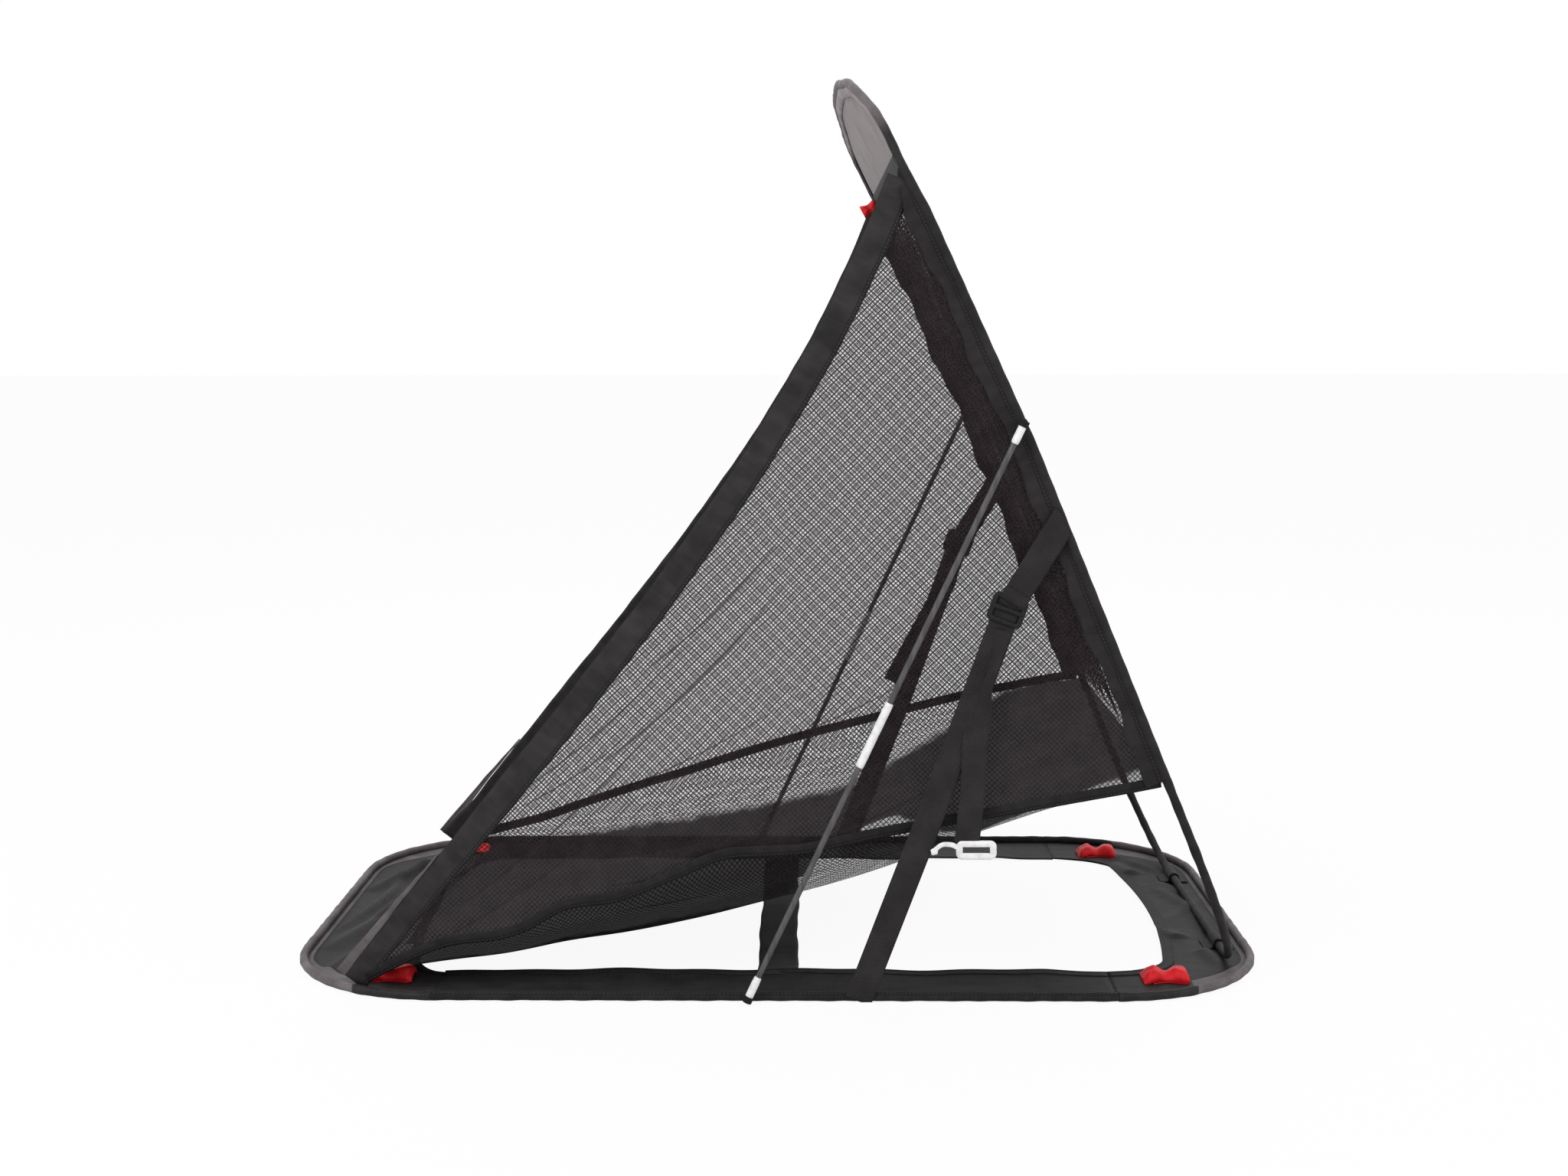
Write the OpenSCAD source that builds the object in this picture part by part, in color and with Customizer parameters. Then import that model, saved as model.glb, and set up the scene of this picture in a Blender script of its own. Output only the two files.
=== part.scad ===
// Golf chipping net: a sprung base hoop lies on the ground and a second hoop stands up from its
// rear end.  Mesh sides run between the two, a mesh hammock catches the ball, and two poles and
// two webbing straps hold the standing hoop.  Millimetres; origin at the centre of the base, on
// the ground; +Z up; the player stands toward -X; left is -Y and right is +Y.

/* [Base hoop] */
// Length of the base over its hem
base_l = 950; // [800:10:1100]
// Width of the base over its hem
base_w = 600; // [560:5:700]
// Outside corner radius of the base
base_r = 155; // [130:1:175]
// Diameter of the hem that holds the spring wire
hem_d = 9; // [8:0.5:10]
// Diameter of the spring wire
wire_d = 4; // [3:0.1:4.5]
// Width of the flat cloth band along each side
band_w = 84; // [70:1:100]
// Thickness of the flat cloth
cloth_t = 1.6; // [1.2:0.1:2]
// Depth of the cloth floor at the front end
floor_front_l = 130; // [122:1:145]
// Depth of the cloth floor at the rear end
floor_rear_l = 100; // [90:1:120]
// How far the inner edges of the floors are hollowed
floor_hollow = 21; // [10:1:30]
// Width of the cloth strap across the base
cross_w = 39; // [25:1:50]

/* [Standing hoop] */
// Distance of the hinge line from the rear end of the base
hinge_in = 31; // [26:1:40]
// Length of the hoop from the hinge to the bend at the poles
lower_len = 551; // [500:1:600]
// Lean of the lower part, from the ground
lower_lean = 68; // [64:0.5:72]
// Length of the hoop from that bend to the start of the crown
upper_len = 234; // [200:1:270]
// Lean of the upper part, from the ground
upper_lean = 65.6; // [62:0.1:68]
// Length of the crown
top_len = 161; // [156:1:190]
// Lean of the crown, from the ground
top_lean = 61.4; // [58:0.1:68]
// Length of bare hoop below the net
bare_len = 217; // [180:1:240]
// Width of the flat edge of the sleeve
flange_w = 28; // [20:1:34]
// Depth of the closed panel at the crown
crown_len = 118; // [90:1:140]

/* [Nets] */
// Distance of the foot of the front binding from the front end of the base
foot_in = 80; // [70:1:100]
// Height of the net's front corner
foot_up = 8; // [6:1:12]
// Distance of the front binding's head below the crown panel
binding_down = 5; // [3:1:25]
// Width of the front binding
binding_w = 27; // [20:1:32]
// Hollow of the front edge, at its first third
binding_dip_1 = 15; // [0:1:30]
// Hollow of the front edge, at its second third
binding_dip_2 = 72; // [30:1:90]
// Width of the seam tape under the side nets
seam_w = 10; // [6:1:14]
// Rise of the lower seam, at its first third
seam_rise_1 = 55; // [20:1:70]
// Rise of the lower seam, at its second third
seam_rise_2 = 17; // [0:1:40]
// Lean of the side nets toward each other
side_tilt = 1.7; // [0.5:0.1:2]
// Thickness of the mesh
net_t = 1.2; // [0.8:0.1:1.4]
// Spacing of the net's gaps
net_pitch = 44; // [40:1:60]
// Width of the net between two gaps
net_bar = 6; // [4:0.5:9]
// Height of the hammock's middle at its front edge
hammock_front = 4; // [3:0.5:8]
// Height of the hammock's middle at its rear edge
hammock_rear = 185; // [150:1:195]
// Height of the hammock's folds
fold_h = 4; // [0:0.5:6]

/* [Poles] */
// Place of the pole's foot along the base
pole_x = -24; // [-60:1:20]
// Height of the pole's foot pivot
pole_z = 6; // [6:0.1:8]
// Where the pole meets the hoop, above the bend
pole_up = 22; // [10:1:40]
// Diameter of the rod
rod_d = 5.5; // [4:0.1:6]
// Diameter of the white end tips
tip_d = 7.5; // [7:0.1:7.8]
// Length of the lower tip above its pivot
tip_low = 23; // [15:1:40]
// Length of the upper tip below its pivot
tip_high = 33; // [20:1:50]
// Length of the ferrule
ferrule_l = 65.5; // [50:0.5:80]
// Diameter of the ferrule
ferrule_d = 7.8; // [7:0.1:8]
// Distance of the ferrule's middle from the foot
ferrule_at = 272; // [220:1:320]

/* [Straps] */
// Width of the webbing
strap_w = 25; // [20:1:27]
// Thickness of the webbing
strap_t = 1.2; // [1:0.1:1.4]
// Place of the strap's foot along the base
strap_x = 78; // [60:1:100]
// Where the strap is sewn to the hoop, from the hinge
strap_s = 476; // [440:1:500]
// Length of the webbing from the hoop to the buckle
strap_up_l = 82; // [70:1:95]
// Direction of that webbing, from the ground
strap_lean = 58; // [54:1:64]
// Width of the buckle
buckle_w = 33; // [31:0.5:36]
// Length of the buckle
buckle_l = 28; // [24:0.5:32]
// Thickness of the buckle
buckle_t = 2.4; // [2:0.1:2.6]
// Width of the hook at the end of the left tail
hook_w = 61; // [50:1:70]
// Height of that hook
hook_h = 16; // [12:1:20]
// Height of the hook's middle above the ground
hook_z = 144; // [120:1:170]

/* [Loops and tabs] */
// Length of a red pull tab
tab_l = 44; // [30:1:50]
// Width of a red pull tab
tab_w = 25; // [18:1:30]
// Height of a red pull tab
tab_h = 9; // [6:0.5:10]
// Width of a hinge loop
loop_w = 30; // [20:1:50]
// Thickness of the loops' cloth
loop_t = 1; // [0.8:0.1:1.2]

/* [Hidden] */
$fn = 24;
black = [0.16, 0.155, 0.16];
mesh = [0.28, 0.27, 0.27];
grey = [0.55, 0.52, 0.52];
red = [0.85, 0.1, 0.15];
white = [0.95, 0.95, 0.95];
steel = [0.6, 0.6, 0.62];
gap = 0.3;                               // clearance between pieces that move past each other
fit = 0.1;                               // clearance of a wire or a pin in its bore
far = 2000;                              // size of a half space
path_w = base_w - hem_d;                 // the hoops' centreline
path_r = base_r - hem_d / 2;
path_l = base_l - hem_d;
side_l = base_l - 2 * base_r;            // straight length of a side
bore_d = wire_d + 2 * fit;
hinge = [base_l / 2 - hinge_in, cloth_t + gap + hem_d / 2];
part_len = [lower_len, upper_len, top_len];
part_lean = [lower_lean, upper_lean, top_lean];
flange_t = 1.2;
// the cloth of the sides lies inside the sleeve's flange
side_y = path_w / 2 - flange_t / 2 - gap - cloth_t / 2;
// outward from the hem: webbing, buckle and tail, poles
strap_y = base_w / 2 + gap + strap_t / 2;
buckle_y = strap_y + strap_t / 2 + gap + buckle_t / 2;
tail_y = strap_y + strap_t + gap;
pole_y = buckle_y + buckle_t / 2 + 1.6 + rod_d / 2;
pole_foot = [pole_x, pole_z];
pole_top = on_part(1, pole_up, 0);
pole_len = norm(pole_top - pole_foot);
pole_lean = atan2(pole_top[1] - pole_foot[1], pole_top[0] - pole_foot[0]);
tip_over = 4;                            // how far a tip reaches past its pivot
patch_d = 10;                            // cloth patch that carries a pole's loop
pin_d = 3;
knee_r = 200;                            // radius of the hoop's bends
knee_full = 1.04;
lap = 1;
pole_loop_l = 6;
tab_front_x = -base_l / 2 + 110;
tab_rear_x = base_l / 2 - 103;
strap_top = on_part(0, strap_s, 0);
strap_dir = -[cos(strap_lean), sin(strap_lean)];
buckle_at = strap_top + (strap_up_l + buckle_l / 2) * strap_dir;
strap_foot = [strap_x, cloth_t + gap];
low_dir = (strap_foot - buckle_at) / norm(strap_foot - buckle_at);
steps = 16;                              // steps along a curved seam
net_back = hem_d / 2 + 1.2;              // the side cloth stops short of the hem by this much
net_foot = [-base_l / 2 + foot_in, foot_up];
binding_head = on_part(2, top_len - crown_len - binding_down, net_back);
seam_head = on_part(0, bare_len, net_back);

function up(k) = [-cos(part_lean[k]), sin(part_lean[k])];
function forward(k) = [-sin(part_lean[k]), -cos(part_lean[k])];
// how far a bend reaches along the parts that meet at the start of part k
function reach(k) = k == 0 || k == 3 ? 0 : knee_r * tan((part_lean[k - 1] - part_lean[k]) / 2);
// the start of part k of the standing hoop, and the point s along it and n forward of it, as [x, z]
function start(k) = k == 0 ? hinge : start(k - 1) + part_len[k - 1] * up(k - 1);
function on_part(k, s, n) = start(k) + s * up(k) + n * forward(k);
function cubic(a, b, c, d, t) =
    a * pow(1 - t, 3) + 3 * b * t * pow(1 - t, 2) + 3 * c * t * t * (1 - t) + d * pow(t, 3);
// a seam from a to b that leaves the straight line by u and v at its thirds
function seam_curve(a, b, u, v) = let (d = b - a, n = [-d[1], d[0]] / norm(d))
    [for (i = [0 : steps]) cubic(a, a + d / 3 + u * n, a + d * 2 / 3 + v * n, b, i / steps)];
// the same line moved sideways by e
function beside(p, e) = [for (i = [0 : len(p) - 1])
    let (d = p[min(i + 1, len(p) - 1)] - p[max(i - 1, 0)]) p[i] + e * [-d[1], d[0]] / norm(d)];
function turned(p) = [for (i = [len(p) - 1 : -1 : 0]) p[i]];
function strip(p, w) = concat(beside(p, w / 2), turned(beside(p, -w / 2)));
binding_line = seam_curve(net_foot, binding_head, -binding_dip_1, -binding_dip_2);
seam_line = seam_curve(net_foot, seam_head, seam_rise_1, seam_rise_2);
hoop_line = [on_part(2, 0, net_back), on_part(1, 0, net_back)];
side_outline = concat(binding_line, hoop_line, turned(seam_line));
net_outline = concat(beside(binding_line, -binding_w / 2), hoop_line, turned(beside(seam_line, seam_w / 2)));

// distance of p from the line a-b, and whether p is inside an outline
function off_line(p, a, b) = let (t = max(0, min(1, (p - a) * (b - a) / max(0.001, (b - a) * (b - a)))))
    norm(p - a - t * (b - a));
function off_edge(p, o) = min([for (i = [0 : len(o) - 1]) off_line(p, o[i], o[(i + 1) % len(o)])]);
function crossings(p, o) = len([for (i = [0 : len(o) - 1]) let (a = o[i], b = o[(i + 1) % len(o)])
    if ((a[1] > p[1]) != (b[1] > p[1])
        && p[0] < a[0] + (b[0] - a[0]) * (p[1] - a[1]) / (b[1] - a[1])) 1]);
function inside(p, o) = crossings(p, o) % 2 == 1;
gap_w = net_pitch - net_bar;

module at_side(s) {
    if (s < 0) mirror([0, 1, 0]) children();
    else children();
}

// ---- shared shapes ----

module round_rect(l, w, r) {
    square([l - 2 * r, w], center = true);
    square([l, w - 2 * r], center = true);
    for (x = [-1, 1], y = [-1, 1]) translate([x * (l / 2 - r), y * (w / 2 - r)]) circle(r = r);
}

// a bent tube: closed end across x = 0, legs along +x up to x = leg
module bow(d, leg) {
    translate([0, -path_w / 2 + path_r, 0]) rotate([-90, 0, 0]) cylinder(d = d, h = path_w - 2 * path_r);
    for (s = [-1, 1]) {
        translate([path_r, s * (path_w / 2 - path_r), 0]) rotate([0, 0, s > 0 ? 90 : 180])
            rotate_extrude(angle = 90, $fn = 64) translate([path_r, 0]) circle(d = d);
        if (leg > path_r)
            translate([path_r, s * path_w / 2, 0]) rotate([0, 90, 0]) cylinder(d = d, h = leg - path_r);
    }
}

// part k of the standing hoop, x along it and z forward of it
module part(k) {
    translate([start(k)[0], 0, start(k)[1]]) rotate([0, 180 + part_lean[k], 0]) children();
}

// a straight leg on part k from s0, its ends a lap inside the bends
module leg(k, d, s0 = 0) {
    a = max(s0, reach(k) - lap);
    translate([a, path_w / 2, 0]) rotate([0, 90, 0])
        cylinder(d = d, h = part_len[k] - reach(k + 1) + lap - a);
}

// the bend between parts k - 1 and k of a leg, a little fuller than the legs
module knee(k, d) {
    part(k - 1) translate([part_len[k - 1] - reach(k), path_w / 2, knee_r])
        rotate([90, 0, 0]) rotate([0, 0, -90])
            rotate_extrude(angle = part_lean[k - 1] - part_lean[k])
                translate([knee_r, 0]) circle(d = knee_full * d);
}

module crown_bow(d) {
    translate([top_len, 0, 0]) rotate([0, 0, 180]) bow(d, top_len - reach(2) + lap);
}

module rear_path(d) {
    part(0) bow(d, lower_len - reach(1) + lap);
    for (s = [-1, 1]) at_side(s) {
        knee(1, d);
        part(1) leg(1, d);
        knee(2, d);
    }
    part(2) crown_bow(d);
}

module base_end(d) {
    translate([-path_l / 2, 0, hem_d / 2]) bow(d, path_r);
}

module base_side(d) {
    translate([-side_l / 2, path_w / 2, hem_d / 2]) rotate([0, 90, 0]) cylinder(d = d, h = side_l);
}

module base_path(d) {
    for (a = [0, 180]) rotate([0, 0, a]) {
        base_end(d);
        base_side(d);
    }
}

// an outline drawn in x and z on the leaning plane of a side net
module side_sheet(s, t) {
    at_side(s) translate([hinge[0], side_y, hinge[1]])
        rotate(a = side_tilt, v = [-cos(lower_lean), 0, sin(lower_lean)])
            translate([-hinge[0], t / 2, -hinge[1]]) rotate([90, 0, 0]) linear_extrude(t) children();
}

// the leaning plane's distance from the middle, at x and z
function side_at(x, z) = side_y - sin(side_tilt)
    * ((hinge[0] - x) * sin(lower_lean) + (hinge[1] - z) * cos(lower_lean));

// flat webbing on its edge, from a to b
module webbing(a, b, w) {
    d = b - a;
    translate(a) rotate([0, -atan2(d[2], norm([d[0], d[1]])), atan2(d[1], d[0])])
        translate([0, -strap_t / 2, -w / 2]) cube([norm(d), strap_t, w]);
}

module gaps(o) {
    for (i = [-30 : 30], j = [-30 : 30]) {
        p = net_pitch * [i + j, i - j] / sqrt(2);
        if (inside(p, o) && off_edge(p, o) > gap_w / sqrt(2) + net_bar / 2)
            translate(p) rotate(45) square(gap_w, center = true);
    }
}

// ---- base ----

module base_wire() color(steel) base_path(wire_d);

module hem_end(a) color(grey) rotate([0, 0, a]) difference() {
    base_end(hem_d);
    base_end(bore_d);
}

module hem_side(s) color(black) at_side(s) difference() {
    base_side(hem_d);
    translate([-1, 0, 0]) base_side(bore_d);
    translate([1, 0, 0]) base_side(bore_d);
}

module base_opening() {
    l = base_l - floor_front_l - floor_rear_l;
    h = base_w / 2 - band_w;
    r = (h * h + floor_hollow * floor_hollow) / 2 / floor_hollow;
    translate([(floor_front_l - floor_rear_l) / 2, 0]) {
        square([l, 2 * h], center = true);
        for (a = [0, 180]) rotate(a) intersection() {
            translate([l / 2 + floor_hollow - r, 0]) circle(r = r, $fn = 120);
            translate([0, -h]) square([l, 2 * h]);
        }
    }
}

// flat cloth between x0 and x1, sewn to the inside of the hem
module base_cloth(x0, x1) {
    difference() {
        linear_extrude(cloth_t) difference() {
            intersection() {
                round_rect(path_l - 2 * hem_d / 3, path_w - 2 * hem_d / 3, path_r - hem_d / 3, $fn = 64);
                translate([x0, -base_w / 2]) square([x1 - x0, base_w]);
            }
            base_opening();
        }
        base_path(hem_d);
    }
}

module band(s) color(black) at_side(s) intersection() {
    base_cloth(-side_l / 2, side_l / 2);
    translate([-far / 2, 0, -1]) cube([far, far, 10]);
}

module floor_front() color(black) base_cloth(-base_l / 2, -side_l / 2);

module floor_rear() color(black) base_cloth(side_l / 2, base_l / 2);

module cross_strap() {
    creases = 12;
    h = base_w / 2 - band_w;
    top = [for (i = [0 : 2 * creases]) [-h + h * i / creases, cloth_t + (i % 2 == 0 ? 0 : 0.8)]];
    color(black) translate([2 - cross_w / 2, 0, 0]) rotate([90, 0, 90]) linear_extrude(cross_w)
        polygon(concat([[-h, 0]], top, [[h, 0]]));
}

module hinge_loop(s) color(black) at_side(s) difference() {
    translate([hinge[0], 110 + loop_w / 2, hinge[1]]) rotate([90, 0, 0]) union() {
        cylinder(d = hem_d + 2 * (gap + loop_t), h = loop_w);
        translate([-hem_d * 1.5, -hinge[1], 0]) cube([hem_d * 3, cloth_t + loop_t, loop_w]);
    }
    translate([hinge[0], 0, hinge[1]]) rotate([-90, 0, 0]) cylinder(d = hem_d + 2 * gap, h = far);
    translate([hinge[0] - hem_d * 0.4, 0, 0]) cube([hem_d * 0.8, far, hinge[1]]);
    translate([-far / 2, 0, cloth_t - far]) cube(far);
}

// a soft red pull tab lying along x, drawn in at its middle
module tab_form(l, w, h) {
    pinch = w * 0.9;
    intersection() {
        rotate([90, 0, 0]) translate([0, h / 2, -w / 2]) linear_extrude(w) round_rect(l, h, h / 2 - 0.01);
        linear_extrude(h) difference() {
            round_rect(l, w, w / 4);
            for (s = [-1, 1]) translate([0, s * (w / 2 + pinch * 0.75)]) circle(r = pinch, $fn = 48);
        }
    }
}

module base_tab(x, s) color(red) at_side(s)
    translate([x, base_w / 2 - band_w * 0.8, cloth_t]) tab_form(tab_l, tab_w, tab_h);

module patch_form(p) {
    translate([p[0], path_w / 2, p[1]]) rotate([-90, 0, 0])
        cylinder(d = patch_d, h = pole_y - tip_d / 2 - loop_t - fit - gap - path_w / 2);
    translate([p[0], path_w / 2, p[1]]) rotate([-90, 0, 0])
        cylinder(d = pin_d, h = pole_y - tip_d / 2 - fit - gap - path_w / 2);
}

module pole_patch(s) color(black) at_side(s) difference() {
    patch_form(pole_foot);
    base_path(hem_d);
    translate([-far / 2, 0, -far]) cube(far);
}

// ---- cloth between the hoops ----

module behind_hoop() {
    polygon([on_part(0, 0, net_back), on_part(1, 0, net_back), on_part(2, 0, net_back),
        on_part(2, top_len, net_back), [far, far], [far, -far]]);
}

module binding_shape() {
    difference() {
        polygon(strip(binding_line, binding_w));
        behind_hoop();
        translate([-far / 2, cloth_t + gap - far]) square(far);
    }
}

module seam_shape() {
    difference() {
        polygon(strip(seam_line, seam_w));
        behind_hoop();
        polygon(strip(binding_line, binding_w));
        strip_ends();
    }
}

// where the two strips meet or end, the cloth behind them is cut clear
module strip_ends() {
    for (p = [net_foot, binding_head]) translate(p) circle(d = binding_w);
}

module side_net(s) color(mesh) side_sheet(s, net_t) difference() {
    polygon(side_outline);
    strip_ends();
    polygon(strip(binding_line, binding_w));
    polygon(strip(seam_line, seam_w));
    gaps(net_outline);
}

module binding(s) color(black) side_sheet(s, cloth_t) binding_shape();

module seam(s) color(black) side_sheet(s, cloth_t) seam_shape();

// the hammock hangs between the two lower seams
hammock_n = 14;
hammock_m = 16;
function hammock_p(i, j) = let (
    q = beside(seam_line, -seam_w / 2)[1 + i],
    u = i / hammock_n,
    v = j / hammock_m * 2 - 1,
    low = hammock_front + (hammock_rear - hammock_front) * pow(u, 1.4),
    wave = fold_h * u * (1 - u * 0.5) * (1 - v * v) * cos(360 * 2.5 * v),
    edge = max(q[1], low))
    [q[0], v * (side_at(q[0], edge) - cloth_t), low + (edge - low) * pow(v, 4) + wave];

module hammock_net() {
    rows = hammock_m + 1;
    top = [for (i = [0 : hammock_n], j = [0 : hammock_m]) hammock_p(i, j)];
    count = len(top);
    under = [for (p = top) p - [0, 0, net_t]];
    cells = [for (i = [0 : hammock_n - 1], j = [0 : hammock_m - 1]) i * rows + j];
    rim = concat([for (j = [0 : hammock_m - 1]) j],
        [for (i = [0 : hammock_n - 1]) i * rows + hammock_m],
        [for (j = [hammock_m : -1 : 1]) hammock_n * rows + j],
        [for (i = [hammock_n : -1 : 1]) i * rows]);
    color(mesh) polyhedron(concat(top, under), concat(
        [for (c = cells) each [[c, c + rows, c + 1], [c + 1, c + rows, c + rows + 1]]],
        [for (c = cells) each [[count + c, count + c + 1, count + c + rows],
            [count + c + 1, count + c + rows + 1, count + c + rows]]],
        [for (k = [0 : len(rim) - 1]) let (a = rim[k], b = rim[(k + 1) % len(rim)])
            each [[a, b, count + a], [b, count + b, count + a]]]));
}

// ---- standing hoop ----

module rear_wire() color(steel) rear_path(wire_d);

module rear_foot_hem() color(black) part(0) difference() {
    bow(hem_d, bare_len);
    bow(bore_d, bare_len + 1);
}

// the sleeve's flat edge along part k, from s0 to s1
module flange(s0, s1) {
    translate([s0, path_w / 2 - flange_t / 2, 0]) cube([s1 - s0, flange_t, hem_d / 2 + flange_w]);
}

module sleeve(s) color(black) at_side(s) difference() {
    union() {
        part(0) {
            leg(0, hem_d, bare_len);
            flange(bare_len, lower_len);
        }
        knee(1, hem_d);
        part(1) {
            leg(1, hem_d);
            flange(0, upper_len);
        }
        knee(2, hem_d);
        part(2) {
            intersection() {
                crown_bow(hem_d);
                translate([0, 0, -hem_d]) cube([top_len - crown_len, path_w, 2 * hem_d]);
            }
            flange(0, top_len - path_r);
        }
    }
    part(0) leg(0, bore_d, bare_len - 1);
    knee(1, bore_d);
    part(1) leg(1, bore_d);
    knee(2, bore_d);
    part(2) crown_bow(bore_d);
}

module crown_hem() color(grey) part(2) difference() {
    intersection() {
        crown_bow(hem_d);
        translate([top_len - crown_len, -path_w, -hem_d]) cube([far, 2 * path_w, 2 * hem_d]);
    }
    crown_bow(bore_d);
}

module crown_panel() color(grey) part(2) difference() {
    translate([0, 0, -cloth_t / 2]) linear_extrude(cloth_t) intersection() {
        translate([top_len - path_l / 2, 0]) round_rect(path_l, path_w, path_r, $fn = 64);
        translate([top_len - crown_len, -path_w]) square([far, 2 * path_w]);
    }
    crown_bow(hem_d);
}

// the rear net runs up the hoop to just below the crown, as a line n forward of the hoop
net_s = [[bare_len, lower_len], [0, upper_len], [0, top_len - crown_len - gap]];
function net_line(n) = [on_part(0, bare_len, n), on_part(1, 0, n), on_part(2, 0, n),
    on_part(2, net_s[2][1], n)];

module rear_net() color(mesh) difference() {
    w = path_w - knee_full * hem_d - fit;
    rotate([90, 0, 0]) translate([0, 0, -w / 2]) linear_extrude(w)
        polygon(concat(net_line(net_t / 2), turned(net_line(-net_t / 2))));
    for (k = [0 : 2]) part(k) translate([0, 0, -net_t]) linear_extrude(2 * net_t)
        gaps([for (c = [[0, -1], [1, -1], [1, 1], [0, 1]]) [net_s[k][c[0]], c[1] * w / 2]]);
    part(2) translate([0, 0, -net_t]) linear_extrude(2 * net_t) difference() {
        translate([2 * hem_d, -path_w / 2]) square([path_r, path_w]);
        translate([top_len - path_l / 2, 0])
            round_rect(path_l - hem_d - 2 * fit, w, path_r - hem_d / 2 - fit, $fn = 64);
    }
}

module crown_tab(s) color(red) at_side(s) part(2)
    translate([top_len - crown_len, path_w / 2 - hem_d / 2 - tab_w / 2 - 1, cloth_t / 2])
        tab_form(tab_l * 0.6, tab_w * 0.6, tab_h * 0.8);

module top_patch(s) color(black) at_side(s) difference() {
    patch_form(pole_top);
    part(1) {
        leg(1, hem_d);
        flange(0, upper_len);
    }
}

// ---- poles: z runs up along the pole from its foot ----

module along_pole(s) {
    at_side(s) translate([pole_foot[0], pole_y, pole_foot[1]]) rotate([0, 90 - pole_lean, 0]) children();
}

module low_rod(s) color([0.3, 0.3, 0.3]) along_pole(s)
    translate([0, 0, tip_low]) cylinder(d = rod_d, h = ferrule_at - ferrule_l / 2 - tip_low);

module ferrule(s) color(white) along_pole(s)
    translate([0, 0, ferrule_at - ferrule_l / 2]) cylinder(d = ferrule_d, h = ferrule_l);

module low_tip(s) color(white) along_pole(s)
    translate([0, 0, -tip_over]) cylinder(d = tip_d, h = tip_low + tip_over);

module high_rod(s) color([0.3, 0.3, 0.3]) along_pole(s)
    translate([0, 0, ferrule_at + ferrule_l / 2 + gap])
        cylinder(d = rod_d, h = pole_len - tip_high - ferrule_at - ferrule_l / 2 - gap);

module high_tip(s) color(white) along_pole(s)
    translate([0, 0, pole_len - tip_high]) cylinder(d = tip_d, h = tip_high + tip_over);

module pole_loop(s, z) color(black) along_pole(s) translate([0, 0, z]) difference() {
    cylinder(d = tip_d + 2 * (fit + loop_t), h = pole_loop_l, center = true);
    cylinder(d = tip_d + 2 * fit, h = 2 * pole_loop_l, center = true);
    rotate([90, 0, 0]) cylinder(d = pin_d + 2 * fit, h = tip_d);
}

// ---- straps ----

module strap_low(s) {
    a = buckle_at + (buckle_l / 2 - buckle_bar - 2) * -low_dir;
    color(black) at_side(s) difference() {
        webbing([a[0], strap_y, a[1]], [strap_foot[0], strap_y, strap_foot[1]], strap_w);
        translate([-far / 2, 0, -far + gap]) cube(far);
    }
}

buckle_bar = 5;                          // width of the buckle's bars
buckle_tilt = atan2(-low_dir[1], -low_dir[0]);

module buckle(s) {
    slot_l = (buckle_l - 3 * buckle_bar) / 2;
    color(black) at_side(s) translate([buckle_at[0], buckle_y, buckle_at[1]])
        rotate([0, -buckle_tilt, 0]) rotate([90, 0, 0])
            translate([0, 0, -buckle_t / 2]) linear_extrude(buckle_t) difference() {
                round_rect(buckle_l, buckle_w, 3);
                for (x = [-1, 1]) translate([x * (buckle_bar + slot_l) / 2, 0])
                    square([slot_l, strap_w + 1], center = true);
            }
}

module strap_up(s) {
    b = strap_top + (strap_up_l - gap) * strap_dir;
    color(black) at_side(s) difference() {
        webbing([strap_top[0], strap_y, strap_top[1]], [b[0], strap_y, b[1]], strap_w);
        part(0) translate([0, 0, -far - hem_d / 4]) cube(far);
    }
}

// routes of the loose ends, from the buckle down, as [x, z]
tail_left_route = [[8, -28], [-2, -55], [-11, -108],
    [-11, hook_z + hook_h / 2 + gap - buckle_at[1]]];
tail_right_route = [[6, -30], [-60, -140]];

module tail(s, route) {
    a = [buckle_at[0] - 8, buckle_at[1] - 18];
    p = [for (q = route) [buckle_at[0] - 20 + q[0], tail_y, buckle_at[1] + q[1]]];
    color(black) at_side(s) {
        webbing([a[0], tail_y, a[1]], p[0], strap_w - 3);
        for (i = [0 : len(p) - 2]) webbing(p[i], p[i + 1], strap_w - 3);
    }
}

module tail_hook() {
    x = buckle_at[0] - 40;
    color(white) at_side(-1) translate([x, tail_y + 0.8, hook_z]) rotate([90, 0, 0])
        translate([0, 0, -1]) linear_extrude(2) difference() {
            round_rect(hook_w, hook_h, 5);
            translate([hook_w * 0.05, hook_h * 0.2]) square([strap_w, 3], center = true);
            translate([-hook_w * 0.3, -hook_h * 0.5]) circle(d = hook_h * 0.7);
        }
}

base_wire();
hem_end(0);  // hem_front
hem_end(180);  // hem_rear
hem_side(-1);  // hem_left
hem_side(1);  // hem_right
band(-1);  // band_left
band(1);  // band_right
floor_front();
floor_rear();
cross_strap();
hinge_loop(-1);  // hinge_loop_left
hinge_loop(1);  // hinge_loop_right
base_tab(tab_front_x, -1);  // tab_front_left
base_tab(tab_front_x, 1);  // tab_front_right
base_tab(tab_rear_x, -1);  // tab_rear_left
base_tab(tab_rear_x, 1);  // tab_rear_right
pole_patch(-1);  // pole_patch_left
pole_patch(1);  // pole_patch_right
side_net(-1);  // side_net_left
side_net(1);  // side_net_right
hammock_net();
binding(-1);  // binding_left
binding(1);  // binding_right
seam(-1);  // seam_left
seam(1);  // seam_right
strap_low(-1);  // strap_low_left
strap_low(1);  // strap_low_right
tail(-1, tail_left_route);  // tail_left
tail(1, tail_right_route);  // tail_right
tail_hook();
rear_wire();
rear_foot_hem();
sleeve(-1);  // sleeve_left
sleeve(1);  // sleeve_right
crown_hem();
crown_panel();
rear_net();
crown_tab(-1);  // crown_tab_left
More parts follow.
